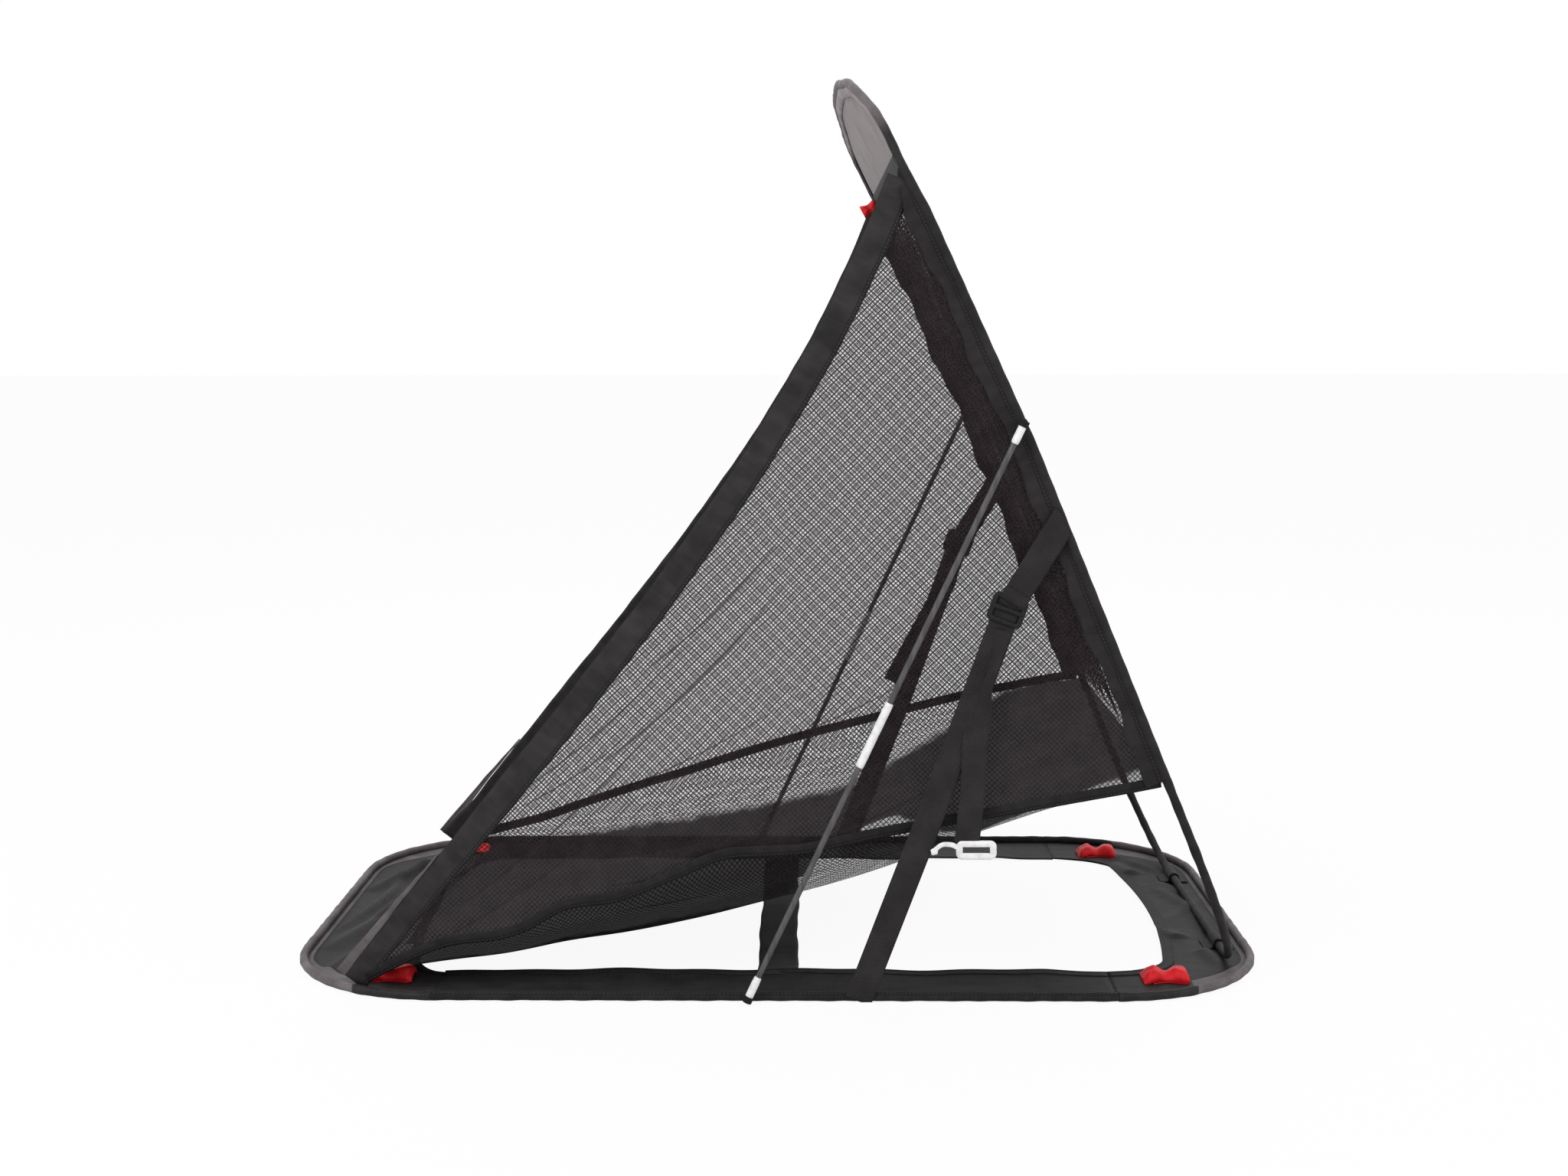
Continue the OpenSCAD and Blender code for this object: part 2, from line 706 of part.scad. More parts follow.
crown_tab(1);  // crown_tab_right
top_patch(-1);  // top_patch_left
top_patch(1);  // top_patch_right
low_rod(-1);  // low_rod_left
low_rod(1);  // low_rod_right
ferrule(-1);  // ferrule_left
ferrule(1);  // ferrule_right
low_tip(-1);  // low_tip_left
low_tip(1);  // low_tip_right
pole_loop(-1, 0);  // low_loop_left
pole_loop(1, 0);  // low_loop_right
high_rod(-1);  // high_rod_left
high_rod(1);  // high_rod_right
high_tip(-1);  // high_tip_left
high_tip(1);  // high_tip_right
pole_loop(-1, pole_len);  // high_loop_left
pole_loop(1, pole_len);  // high_loop_right
strap_up(-1);  // strap_up_left
strap_up(1);  // strap_up_right
buckle(-1);  // buckle_left
buckle(1);  // buckle_right
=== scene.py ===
# Chipping net: a sprung base hoop on the ground, a second sprung hoop hinged on its rear end,
# mesh sides and a mesh hammock between them, held up by two poles and two webbing straps.
# Lengths in this file are millimetres until a piece is made; +X is the hinge end, -Y is left.
import math
from functools import partialmethod

import bpy
import numpy as np
from mathutils import Matrix, Vector


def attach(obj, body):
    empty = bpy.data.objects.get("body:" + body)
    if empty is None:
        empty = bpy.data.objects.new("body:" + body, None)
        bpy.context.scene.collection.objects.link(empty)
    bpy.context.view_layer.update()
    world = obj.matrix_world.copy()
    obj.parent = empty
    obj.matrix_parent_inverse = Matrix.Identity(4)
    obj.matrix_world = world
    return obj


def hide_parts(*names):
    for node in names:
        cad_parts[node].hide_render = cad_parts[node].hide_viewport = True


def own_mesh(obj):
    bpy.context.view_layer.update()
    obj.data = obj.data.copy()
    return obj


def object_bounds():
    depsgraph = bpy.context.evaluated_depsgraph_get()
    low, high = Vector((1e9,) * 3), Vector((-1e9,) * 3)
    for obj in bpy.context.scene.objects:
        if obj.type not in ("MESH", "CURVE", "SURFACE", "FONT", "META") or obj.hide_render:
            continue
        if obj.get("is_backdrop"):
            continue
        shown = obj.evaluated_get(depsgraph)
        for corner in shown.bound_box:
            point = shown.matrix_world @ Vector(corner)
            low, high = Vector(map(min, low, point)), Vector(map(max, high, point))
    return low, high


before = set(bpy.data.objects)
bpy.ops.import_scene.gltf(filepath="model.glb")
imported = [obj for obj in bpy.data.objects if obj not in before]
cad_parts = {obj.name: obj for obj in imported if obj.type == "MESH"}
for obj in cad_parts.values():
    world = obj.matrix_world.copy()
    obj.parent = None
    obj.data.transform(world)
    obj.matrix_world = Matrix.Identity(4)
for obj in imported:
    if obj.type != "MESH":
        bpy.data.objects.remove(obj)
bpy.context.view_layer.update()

# ---- camera ----
# It stands level with the poles' tops, to the left of the net, and looks a little down.


def added(name, data):
    obj = bpy.data.objects.new(name, data)
    bpy.context.scene.collection.objects.link(obj)
    return obj


camera = added("camera", bpy.data.cameras.new("camera"))
bpy.context.scene.camera = camera
SENSOR, FOCAL, FRAME = 36, 2666.7, 2048  # millimetres, and two lengths in pixels
YAW, PITCH, ROLL = 0.0111, -0.0470, -0.0016
camera.data.sensor_width = SENSOR
camera.data.lens = SENSOR * FOCAL / FRAME
camera.data.shift_y = -0.1
camera.data.clip_end = 50
camera.matrix_world = (
    Matrix.Translation((0.0309, -2.1656, 0.6181))
    @ Matrix.Rotation(YAW, 4, "Z")
    @ Matrix.Rotation(math.pi / 2 + PITCH, 4, "X")
    @ Matrix.Rotation(ROLL, 4, "Z")
)

# ---- base hem ----
# Two layers of nylon are folded over the spring wire and sewn into a round hem.  It is grey
# round both ends and black along the sides, and it puckers a little between the stitches.


class Value:
    """A number, colour or vector inside a finish.  Sums and products add the Math nodes."""

    def __init__(self, finish, socket):
        self.finish, self.socket = finish, socket

    def maths(self, operation, *others):
        return self.finish.node("ShaderNodeMath", {"operation": operation}, [self, *others])

    __add__ = __radd__ = partialmethod(maths, "ADD")
    __mul__ = __rmul__ = partialmethod(maths, "MULTIPLY")
    __sub__ = partialmethod(maths, "SUBTRACT")
    __truediv__ = partialmethod(maths, "DIVIDE")
    __pow__ = partialmethod(maths, "POWER")
    __abs__ = partialmethod(maths, "ABSOLUTE")

    def __rsub__(self, other):
        return self.finish.node("ShaderNodeMath", {"operation": "SUBTRACT"}, [other, self])

    def wave(self, length):
        """1 on the crests and 0 in the troughs of a ripple that repeats after length metres."""
        return (self * (2 * math.pi / length)).maths("COSINE") * 0.5 + 0.5

    def step(self, low, high):
        """0 below low, 1 above high, and a smooth rise between them."""
        return self.finish.node(
            "ShaderNodeMapRange",
            {"interpolation_type": "SMOOTHSTEP"},
            {"Value": self, "From Min": low, "From Max": high},
        )

    def near(self, place, width):
        """1 within about half of width from place, and 0 further away."""
        return 1 - abs(self - place).step(width * 0.35, width * 0.65)


class Nodes:
    """The node tree of a material or a world."""

    def __init__(self, owner):
        owner.use_nodes = True
        self.tree = owner.node_tree

    def plug(self, socket, value):
        if isinstance(value, Value):
            self.tree.links.new(value.socket, socket)
        else:
            socket.default_value = value

    def node(self, kind, settings=None, sockets=None, out=0):
        made = self.tree.nodes.new(kind)
        for key, value in (settings or {}).items():
            setattr(made, key, value)
        pairs = sockets.items() if isinstance(sockets, dict) else enumerate(sockets or [])
        for key, value in pairs:
            self.plug(made.inputs[key], value)
        return Value(self, made.outputs[out])


class Finish(Nodes):
    """One material, with a method for each kind of pattern."""

    def __init__(self, name, colour=(0.5, 0.5, 0.5), roughness=0.6, **uniform):
        self.material = bpy.data.materials.new(name)
        super().__init__(self.material)
        self.shader = self.tree.nodes["Principled BSDF"]
        self.set("Base Color", (*colour, 1))
        self.set("Roughness", roughness)
        for key, value in uniform.items():
            self.set(key.replace("_", " "), value)

    def set(self, name, value):
        self.plug(self.shader.inputs[name], value)

    def place(self, source="UV"):
        """The three coordinates, in metres."""
        point = self.node("ShaderNodeTexCoord", out={"UV": 2, "Object": 3}[source])
        parts = self.node("ShaderNodeSeparateXYZ", None, [point])
        return point, *(Value(self, parts.socket.node.outputs[i]) for i in range(3))

    def noise(self, point, size, detail=3.0, stretch=None):
        """Cloudy variation about size metres across, round 0.5."""
        if stretch:
            point = self.node("ShaderNodeVectorMath", {"operation": "MULTIPLY"}, [point, stretch])
        sockets = {"Vector": point, "Scale": 1 / size, "Detail": detail}
        return self.node("ShaderNodeTexNoise", None, sockets)

    def creased(self, point, stretch):
        """Woven cloth's clouds and creases, and the tone that they give together: the clouds' share
        is random tone, and the creases' share is painted light on the ridges that the bump raises
        and painted shade in the hollows that it sinks.
        """
        cloudy = self.noise(point, 0.035, 4.0)
        creases = self.noise(point, 0.012, 2.0, stretch)
        return cloudy, creases, cloudy.step(0.3, 0.7) * 0.6 + creases.step(0.35, 0.7) * 0.4

    def mix(self, factor, a, b):
        """Colour a where factor is 0 and b where it is 1."""
        a, b = (c if isinstance(c, Value) else (*c, 1) for c in (a, b))
        return self.node("ShaderNodeMix", {"data_type": "RGBA"}, {0: factor, 6: a, 7: b}, 2)

    def bump(self, height, depth, strength=1.0):
        """Raise the surface by height, 0 to 1, times depth metres."""
        sockets = {"Strength": strength, "Distance": depth, "Height": height}
        self.set("Normal", self.node("ShaderNodeBump", None, sockets))


def nylon(name, dark, light, seam=None):
    """Plain woven nylon: fine crossed threads, soft creases and, with seam, a row of stitches
    that lies seam metres from the piece's edge at v = 0, in a groove darkened with painted
    shade."""
    f = Finish(name, dark, Sheen_Weight=0.02, Specular_IOR_Level=0.13)
    point, u, v, _ = f.place()
    threads = u.wave(0.0011) * v.wave(0.0022) + v.wave(0.0011) * 0.6
    cloudy, creases, tone = f.creased(point, (1.0, 0.35, 1.0))
    # the creases' share of this tone is painted light on their ridges and painted shade in their
    # hollows
    colour = f.mix(tone, dark, light)
    height = threads * 0.12 + creases * 0.5 + cloudy * 0.38
    if seam:
        stitch = v.near(seam, 0.0011) * u.wave(0.0036).step(0.25, 0.45)
        # the groove is sunk by the bump, and its darker colour is painted shade in the seam's
        # hollow
        groove_with_painted_shade = v.near(seam, 0.004)
        colour = f.mix(groove_with_painted_shade * 0.55, colour, tuple(c * 0.4 for c in dark))
        colour = f.mix(stitch * 0.6, colour, tuple(c * 1.5 + 0.006 for c in light))
        height = height - groove_with_painted_shade * 0.35 + stitch * 0.4
    f.set("Base Color", colour)
    f.set("Roughness", cloudy * 0.16 + 0.54)
    f.bump(height, 0.0012, 0.55)
    return f.material


def lengths(steps):
    return np.concatenate([[0.0], np.cumsum(steps)])


def surface(
    name, grid, material, body, node=None, thick=0.0, uv=None, wrap=(False, False)
):
    """A smooth surface over a grid of points, made in place of node.  Its UVs are metres along
    and across, so that a weave keeps its size; thick makes it a cloth of that thickness."""
    g = np.asarray(grid, float)
    n, m = g.shape[:2]
    rows, cols = n - (not wrap[0]), m - (not wrap[1])
    if uv is None:
        along = np.roll(g, -1, 0)[:rows] - g[:rows]
        across = np.roll(g, -1, 1)[:, :cols] - g[:, :cols]
        a = lengths(np.linalg.norm(along, axis=2).mean(1))
        b = lengths(np.linalg.norm(across, axis=2).mean(0))
        uv = np.stack(np.meshgrid(a, b, indexing="ij"), axis=2)
    faces, corners = [], []
    for i in range(rows):
        for j in range(cols):
            quad = ((i, j), (i + 1, j), (i + 1, j + 1), (i, j + 1))
            faces.append([(p % n) * m + q % m for p, q in quad])
            corners += [uv[min(p, uv.shape[0] - 1), min(q, uv.shape[1] - 1)] for p, q in quad]
    mesh = bpy.data.meshes.new(name)
    mesh.from_pydata((g.reshape(-1, 3) * 0.001).tolist(), [], faces)
    layer = mesh.uv_layers.new(name="UVMap")
    layer.data.foreach_set("uv", (np.array(corners) * 0.001).ravel())
    mesh.polygons.foreach_set("use_smooth", [True] * len(faces))
    mesh.materials.append(material)
    mesh.update()
    obj = added(name, mesh)
    if thick:
        shell = obj.modifiers.new("thickness", "SOLIDIFY")
        shell.thickness, shell.offset = thick * 0.001, 0.0
        shell.use_even_offset = False
    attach(obj, body)
    if node:
        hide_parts(node)
    return obj


def spaced(points, step):
    """Points evenly spaced along a line of points."""
    p = np.asarray(points, float)
    s = lengths(np.linalg.norm(np.diff(p, axis=0), axis=1))
    t = np.linspace(0, s[-1], max(2, round(s[-1] / step) + 1))
    return np.stack([np.interp(t, s, p[:, k]) for k in range(p.shape[1])], axis=1)


def measured(points, step):
    """The same, with how far along the line each point is."""
    line = spaced(points, step)
    return line, np.arange(len(line)) * step


def unit(v):
    v = np.asarray(v, float)
    return v / np.maximum(np.linalg.norm(v, axis=-1, keepdims=True), 1e-9)


def swept(path, side, profile):
    """Carry a profile of (sideways, upward) points along a path.  side is the sideways
    direction, for the whole path or for each of its points."""
    path = np.asarray(path, float)
    ahead = unit(np.gradient(path, axis=0))
    side = np.broadcast_to(np.asarray(side, float), path.shape)
    side = unit(side - ahead * (side * ahead).sum(1, keepdims=True))
    over = np.cross(ahead, side)
    q = np.asarray(profile, float)
    if q.ndim == 2:
        q = np.broadcast_to(q, (len(path), *q.shape))
    return path[:, None] + q[..., :1] * side[:, None] + q[..., 1:] * over[:, None]


def oval(a, b, count=12):
    t = np.linspace(0, 2 * math.pi, count, endpoint=False)
    return np.stack([a * np.cos(t), b * np.sin(t)], axis=1)


def ripple(s, *waves):
    """A sum of (size, length, start) ripples along s, the same at every run."""
    return sum(size * np.sin(2 * math.pi * s / long + start) for size, long, start in waves)


# sizes to the hem's centreline, where STRAIGHT and END_Y are how far from the middle the bends
# start
HEM = 9.0
LONG, WIDE, BEND = 950.0 - HEM, 600.0 - HEM, 155.0 - HEM / 2
STRAIGHT, END_Y = LONG / 2 - BEND, WIDE / 2 - BEND


def base_end(x_sign):
    """The hem's centreline round one end, from the left side to the right."""
    a = np.linspace(-math.pi / 2, 0, 24)
    right = np.stack([STRAIGHT + BEND * np.cos(a), BEND * np.sin(a) - END_Y], axis=1)
    line = np.concatenate([right, right[::-1] * (1, -1)])
    return np.c_[line[:, 0] * x_sign, line[:, 1], np.full(len(line), HEM / 2)]


def hem_tube(name, line, material, body, node, side=(0, 0, 1)):
    """A round hem along a line, puckered between its stitches."""
    line, s = measured(line, 5.0)
    r = HEM / 2 + ripple(s, (0.16, 23, 0.4), (0.12, 37, 2.0), (0.1, 61, 1.0)) - 0.3
    tube = swept(line, side, r[:, None, None] * oval(1, 1, 14))
    surface(name, tube, material, body, node, wrap=(False, True))


def end_hem_finish(name, along, start, shade=1.0, blend=0.002):
    """Grey cloth round the end, black up to where the side's cloth is sewn over it: at start
    metres in the direction along, and blend metres from one to the other.  shade above 1 is
    painted light, the same grey written lighter; a wide blend is painted shade, a soft fade
    to black where the tube turns from the light."""
    f = Finish(name, (0.19, 0.17, 0.17), Sheen_Weight=0.02, Specular_IOR_Level=0.2)
    _, u, v, _ = f.place()
    where, x, y, z = f.place("Object")
    cloudy = f.noise(where, 0.02, 4.0)
    crease = f.noise(where, 0.007, 2.0)
    cloud = cloudy.step(0.3, 0.7)
    # shade above 1 makes a lighter copy of the same grey cloth: painted light
    dark = tuple(c * shade for c in (0.090, 0.077, 0.080))
    light = tuple(c * shade for c in (0.155, 0.136, 0.140))
    grey = f.mix(cloud, dark, light)
    black = f.mix(cloud, (0.011, 0.0098, 0.0104), (0.025, 0.0226, 0.0235))
    end = x * along[0] + y * along[1] + z * along[2] + cloudy * 0.004
    end = end.step(start - blend / 2, start + blend / 2)
    f.set("Base Color", f.mix(end, black, grey))
    f.set("Roughness", cloudy * 0.15 + 0.52)
    f.bump(crease * 0.7 + u.wave(0.0035) * 0.1 + v.wave(0.0014) * 0.08, 0.0012, 0.6)
    return f.material


black_nylon = nylon("black_nylon", (0.0095, 0.0087, 0.0091), (0.0235, 0.0216, 0.0222))
black_hem = nylon("black_hem", (0.0105, 0.0096, 0.0101), (0.026, 0.0239, 0.0245), seam=0.0025)
GREY_FROM = 0.3995
for name, x_sign in (("front", -1), ("rear", 1)):
    finish = end_hem_finish(f"end_hem_{name}", (x_sign, 0, 0), GREY_FROM)
    hem_tube(f"base_hem_{name}", base_end(x_sign), finish, "base", f"hem_{name}")

SIDES = (("left", -1), ("right", 1))
for name, s in SIDES:
    line = [(-STRAIGHT, s * WIDE / 2, HEM / 2), (STRAIGHT, s * WIDE / 2, HEM / 2)]
    hem_tube(f"base_hem_{name}", line, black_hem, "base", f"hem_{name}")

# ---- spring wires ----
# Spring steel inside the hems, which hide it.  The base's wire keeps its built form; the
# standing hoop's wire is made with its hems, whose crown is pulled out of round.
steel = Finish("spring_steel", (0.42, 0.42, 0.44), 0.34, Metallic=1.0)
where, *_ = steel.place("Object")
steel.set("Roughness", steel.noise(where, 0.01) * 0.3 + 0.2)
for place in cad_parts["base_wire"].material_slots:
    place.material = steel.material

# ---- base cloth ----
# The floor is black nylon sewn to the hem: a band along each side, and a wider floor at each
# end whose inner edge is hollowed and bound with a narrow tape.


# the opening in the floor: half its width, and where the floors' edges begin at its sides
OPEN_Y = 216.0
X_FRONT, X_REAR = -345.0, 375.0


def inner_edge(y, x_sign):
    """Where the end floor's inner edge lies, y from the middle."""
    y, corner = abs(y), 38.0
    base_x, hollow = (X_REAR, 21.0) if x_sign > 0 else (-X_FRONT, 23.0)
    if y > OPEN_Y:
        return STRAIGHT * x_sign
    if y > OPEN_Y - corner:
        t = (y - OPEN_Y + corner) / corner
        reach = base_x + hollow * (1 - ((OPEN_Y - corner) / OPEN_Y) ** 2) * (1 - t) - STRAIGHT
        return x_sign * (STRAIGHT + reach * math.sqrt(max(0.0, 1 - t * t)))
    return x_sign * (base_x + hollow * (1 - (y / OPEN_Y) ** 2))


def bend_reach(past, radius=BEND):
    """How far a rounded corner goes beyond its centre, at past to the side of the centre."""
    return math.sqrt(max(0.0, radius**2 - max(0.0, past) ** 2))


def fold(x, y, x0, y0, x1, y1, width, height):
    """A soft, bowed ridge of cloth from one point to the other, dying out at both ends."""
    d = np.array([x1 - x0, y1 - y0])
    long = np.linalg.norm(d)
    d = d / long
    t = ((x - x0) * d[0] + (y - y0) * d[1]) / long
    arch = np.clip(np.sin(math.pi * np.clip(t, 0, 1)), 0, 1)
    off = (x - x0) * -d[1] + (y - y0) * d[0] + 0.048 * long * arch
    return height * arch**0.7 * np.exp(-((off / width) ** 2))


# the folds in each floor: from (x, y) to (x, y), width and height
front_folds = (
    (-452, -150, -362, 235, 13, 13.0),
    (-440, -235, -392, 40, 8, 9.0),
    (-425, -60, -352, 120, 8, 9.0),
    (-456, 70, -385, 262, 9, 11.0),
    (-405, -262, -368, -120, 8, 7.0),
    (-458, -90, -428, 130, 6, 7.0),
    (-420, 150, -350, 215, 8, 6.0),
)
rear_folds = (
    (455, -90, 405, 120, 10, 4.0),
    (440, -210, 392, -60, 9, 5.0),
    (385, 200, 452, 60, 9, 5.0),
    (405, -40, 465, 60, 8, 2.5),
    (392, 232, 440, 150, 6, 4.0),
)
f = Finish("end_floor_nylon", (0.012, 0.011, 0.0115), Sheen_Weight=0.02, Specular_IOR_Level=0.14)
where, x, y, z = f.place("Object")
cloudy, creases, tone = f.creased(where, (0.5, 1.0, 1.0))
# the creases' share of this tone is painted light on their ridges and painted shade in their
# hollows
tone = f.mix(tone, (0.0070, 0.0062, 0.0066), (0.0230, 0.0207, 0.0215))
grey_tone = f.mix(cloudy.step(0.3, 0.7), (0.085, 0.075, 0.077), (0.15, 0.134, 0.137))
bend_x = (abs(x) - STRAIGHT / 1000).maths("MAXIMUM", 0.0)
bend_y = (abs(y) - END_Y / 1000).maths("MAXIMUM", 0.0)
from_hem = BEND / 1000 - (bend_x * bend_x + bend_y * bend_y) ** 0.5
rim = 0.0085 + abs(y).step(0.17, 0.265) * 0.026
rim_part = (1 - (from_hem - rim).step(0.0, 0.001)) * (abs(x) + cloudy * 0.004).step(0.3985, 0.4005)
tone = f.mix(rim_part, tone, grey_tone)
tone = f.mix((from_hem - rim).near(0.002, 0.0034) * 0.8, tone, (0.004, 0.0036, 0.0038))
f.set("Base Color", tone)
f.set("Roughness", cloudy * 0.2 + 0.48)
f.bump(creases * 0.5 + cloudy * 0.4 + x.wave(0.0022) * y.wave(0.0011) * 0.1, 0.0012, 0.6)
end_floor = f.material


def edge_tape(name, line, side, lift):
    """The tape folded over a cut edge of the base's cloth."""
    section = [(-1.0, -0.9), (0.6, -0.3), (6, lift), (10.5, lift - 0.3)]
    return surface(name, swept(line, side, section), black_hem, "base", thick=0.7)


LIES = 1.1  # height of the middle of cloth that lies on the ground
across = np.linspace(0, 1, 26)
for name, x_sign, folds in (("front", -1, front_folds), ("rear", 1, rear_folds)):
    grid = []
    for y in np.linspace(-WIDE / 2 + 1.5, WIDE / 2 - 1.5, 118):
        a = x_sign * (STRAIGHT + bend_reach(abs(y) - END_Y, BEND - 1.5))
        b = inner_edge(y, x_sign)
        xs = a + (b - a) * across
        raised = sum(fold(xs, y, *one) for one in folds)
        near_hem = np.clip(across * abs(b - a) / 14, 0, 1) * np.clip((WIDE / 2 - abs(y)) / 12, 0, 1)
        under_loop = x_sign > 0 and abs(abs(y) - 125) < 22
        z = LIES + raised * near_hem * (0.15 if under_loop else 1.0)
        grid.append(np.c_[xs, np.full(26, y), z])
    floor = surface(
        f"floor_cloth_{name}", grid, end_floor, "base", f"floor_{name}", thick=1.0
    )
    tape_line = [(inner_edge(y, x_sign), y, 1.6) for y in np.linspace(-OPEN_Y, OPEN_Y, 120)]
    tape_line = spaced(tape_line, 5)
    inner = np.asarray(grid)[:, -1]
    tape_line[:, 2] = np.interp(tape_line[:, 1], inner[:, 1], inner[:, 2]) + 0.7
    tape = edge_tape(f"floor_tape_{name}", tape_line, (x_sign, 0, 0), 0.1)

xs = np.linspace(-STRAIGHT, STRAIGHT, 110)
for name, s in SIDES:
    grid = []
    for y in np.linspace(WIDE / 2 - 1.5, OPEN_Y, 14):
        lift = np.clip((WIDE / 2 - 8 - y) / 60, 0, 1) ** 1.4
        end = np.clip((STRAIGHT - abs(xs)) / 60, 0, 1)
        z = LIES + lift * end * (1.5 + ripple(xs + 9 * s, (0.8, 190, 0.3), (0.5, 83, 1.0)))
        y_in = y - 1.8 * lift * np.sin(math.pi * (xs + STRAIGHT) / (2 * STRAIGHT))
        grid.append(np.c_[xs, s * y_in, z])
    band = surface(
        f"side_band_{name}", grid, black_nylon, "base", f"band_{name}", thick=1.0
    )
    tape = edge_tape(f"band_tape_{name}", grid[-1] + (0, 0, 0.7), (0, s, 0), 0.0)

# ---- cross strap ----
# A flat strap of doubled nylon joins the two bands under the ball's path.  It lies loose, with
# small creases across it.
ys = np.linspace(-OPEN_Y - 10, OPEN_Y + 10, 150)
loose = np.clip((OPEN_Y - abs(ys)) / 25, 0.15, 1)
rise = 1.7 + ripple(ys, (0.25, 71, 0.0), (0.2, 119, 1.3)) * loose
rise = rise + np.clip((abs(ys) - OPEN_Y + 22) / 22, 0, 1) * 1.8
sway = ripple(ys, (0.8, 210, 0.5), (0.4, 70, 0.2))
strap_finish = nylon(
    "cross_strap_nylon", (0.018, 0.0168, 0.0173), (0.036, 0.034, 0.0346), seam=0.004
)
grid = [
    [(2 + sway[k] + w, y, rise[k] + 0.25 * math.cos(w / 3.1)) for w in np.linspace(-19.5, 19.5, 12)]
    for k, y in enumerate(ys)
]
cross = surface(
    "cross_strap_cloth", grid, strap_finish, "base", "cross_strap", thick=1.0
)

# ---- hinge loops ----
# Two short loops of nylon are sewn to the rear floor and go round the foot of the standing
# hoop, which turns in them.
HINGE = np.array([444.0, 6.4])
arch = [(-15.0, 2.5), (-9.5, 2.6), (-6.2, 3.4)]
turn = np.linspace(-0.15, math.pi + 0.15, 22)
arch += [(-5.6 * math.cos(a), 6.6 + 5.6 * math.sin(a)) for a in turn]
arch += [(6.2, 3.4), (9.5, 2.6), (15.0, 2.5)]
for name, s in SIDES:
    across = np.linspace(0, 30, 9)
    grid = [
        [(HINGE[0] + x, s * (110 + w), z + 0.2 * math.sin(w / 3 + x)) for w in across]
        for x, z in spaced(arch, 1.2)
    ]
    loop = surface(
        f"hinge_loop_cloth_{name}", grid, black_nylon, "base", f"hinge_loop_{name}",
        thick=0.8,
    )

# ---- red pull tabs ----
# Folded loops of red ribbon mark the places where the net is gripped to pack it: four on the
# base and two at the foot of the crown.  Each is a ribbon turned back on itself and pinched.
red = Finish("red_ribbon", (0.62, 0.012, 0.02), Specular_IOR_Level=0.25)
point, u, *_ = red.place()
shade = red.noise(point, 0.009, 3.0)
red.set("Base Color", red.mix(shade.step(0.3, 0.75), (0.60, 0.005, 0.010), (0.84, 0.014, 0.022)))
red.set("Roughness", shade * 0.2 + 0.38)
red.bump(u.wave(0.0016) * 0.3 + shade * 0.7, 0.0009, 0.6)


def smoothed(line, times):
    for _ in range(times):
        line[1:-1] = (line[:-2] + 2 * line[1:-1] + line[2:]) / 4
    return line


def ribbon_tab(name, to_world, long, wide, high, body, node):
    """A ribbon loop: along its top, round the far end and back underneath.  Its sides are
    pinched down and its top is dented."""
    top = [(-1, 1.2 / high), (-0.8, 0.62), (-0.45, 0.97), (-0.12, 0.66), (0.1, 0.60), (0.45, 0.95),
           (0.82, 0.82), (0.99, 0.5), (0.9, 0.2)]
    back = [(0.5, 1.5), (0, 1.7), (-0.6, 1.0)]
    half = long / 2
    line = [(half * x, high * z) for x, z in top] + [(half * x, z) for x, z in back]
    rows = []
    for x, z in smoothed(spaced(line, 1.3), 3):
        t = abs(x) / half
        w = wide / 2 * (0.70 + 0.30 * min(1.0, t * 1.3) ** 1.5)
        row = []
        for q in np.linspace(-1, 1, 11):
            rise = (z - 0.16 * z * (1 - t) * (1 - 2 * q * q)) * (1 - 0.88 * abs(q) ** 3.2)
            crease = 0.7 * math.cos(5 * q + x / 5) if z > 2 else 0
            row.append(to_world(np.array([x, w * q, max(0.5, rise + crease)])))
        rows.append(row)
    tab = surface(name, rows, red.material, body, node, thick=0.8)


for end, x, long in (("front", -370.5, 50), ("rear", 373.0, 44)):
    for name, s in SIDES:
        ribbon_tab(
            f"pull_tab_{end}_{name}",
            lambda p, x=x, s=s: (x + p[0], s * 234.8 + p[1], 1.7 + p[2] * 0.95),
            long, 32, 14.5, "base", f"tab_{end}_{name}",
        )

# ---- side nets ----
# Each side is one piece of knitted polyester mesh with small diamond holes.  It hangs from the
# front binding to the tape along its foot, and is caught behind the hoop's sleeve.
# the standing hoop's three straight parts, from the hinge up, and the bare length at its foot
LEAN = np.radians([68.0, 65.6, 61.4])
PART = (551.0, 234.0, 161.0)
BARE = 217.0
CROWN_FOOT = 43.0
NET_BACK = HEM / 2 + 1.2


def on_part(k, s, n=0.0):
    """The point s along part k of the standing hoop and n forward of it, as (x, z)."""
    p = HINGE.copy()
    for i in range(k):
        p = p + PART[i] * np.array([-math.cos(LEAN[i]), math.sin(LEAN[i])])
    up = np.array([-math.cos(LEAN[k]), math.sin(LEAN[k])])
    return p + s * up + n * np.array([-up[1], up[0]])


def on_hoop(s, n=0.0):
    """The same, with s counted all the way from the hinge."""
    k = 0
    while k < 2 and s > PART[k]:
        s -= PART[k]
        k += 1
    return on_part(k, s, n)


TILT, SIDE_Y = math.radians(1.7), 293.8


def on_side(s, p, inward=0.0):
    """Set a point (x, z) on the leaning plane of the left or right net."""
    v = np.array([-math.cos(LEAN[0]), math.sin(LEAN[0])])
    q = np.asarray(p, float) - HINGE
    along = q @ v
    flat = HINGE + q * math.cos(TILT) + np.multiply.outer(along, v) * (1 - math.cos(TILT))
    y = SIDE_Y + math.sin(TILT) * (v[1] * q[..., 0] - v[0] * q[..., 1]) - inward
    return np.stack([flat[..., 0], s * y, flat[..., 1]], axis=-1)


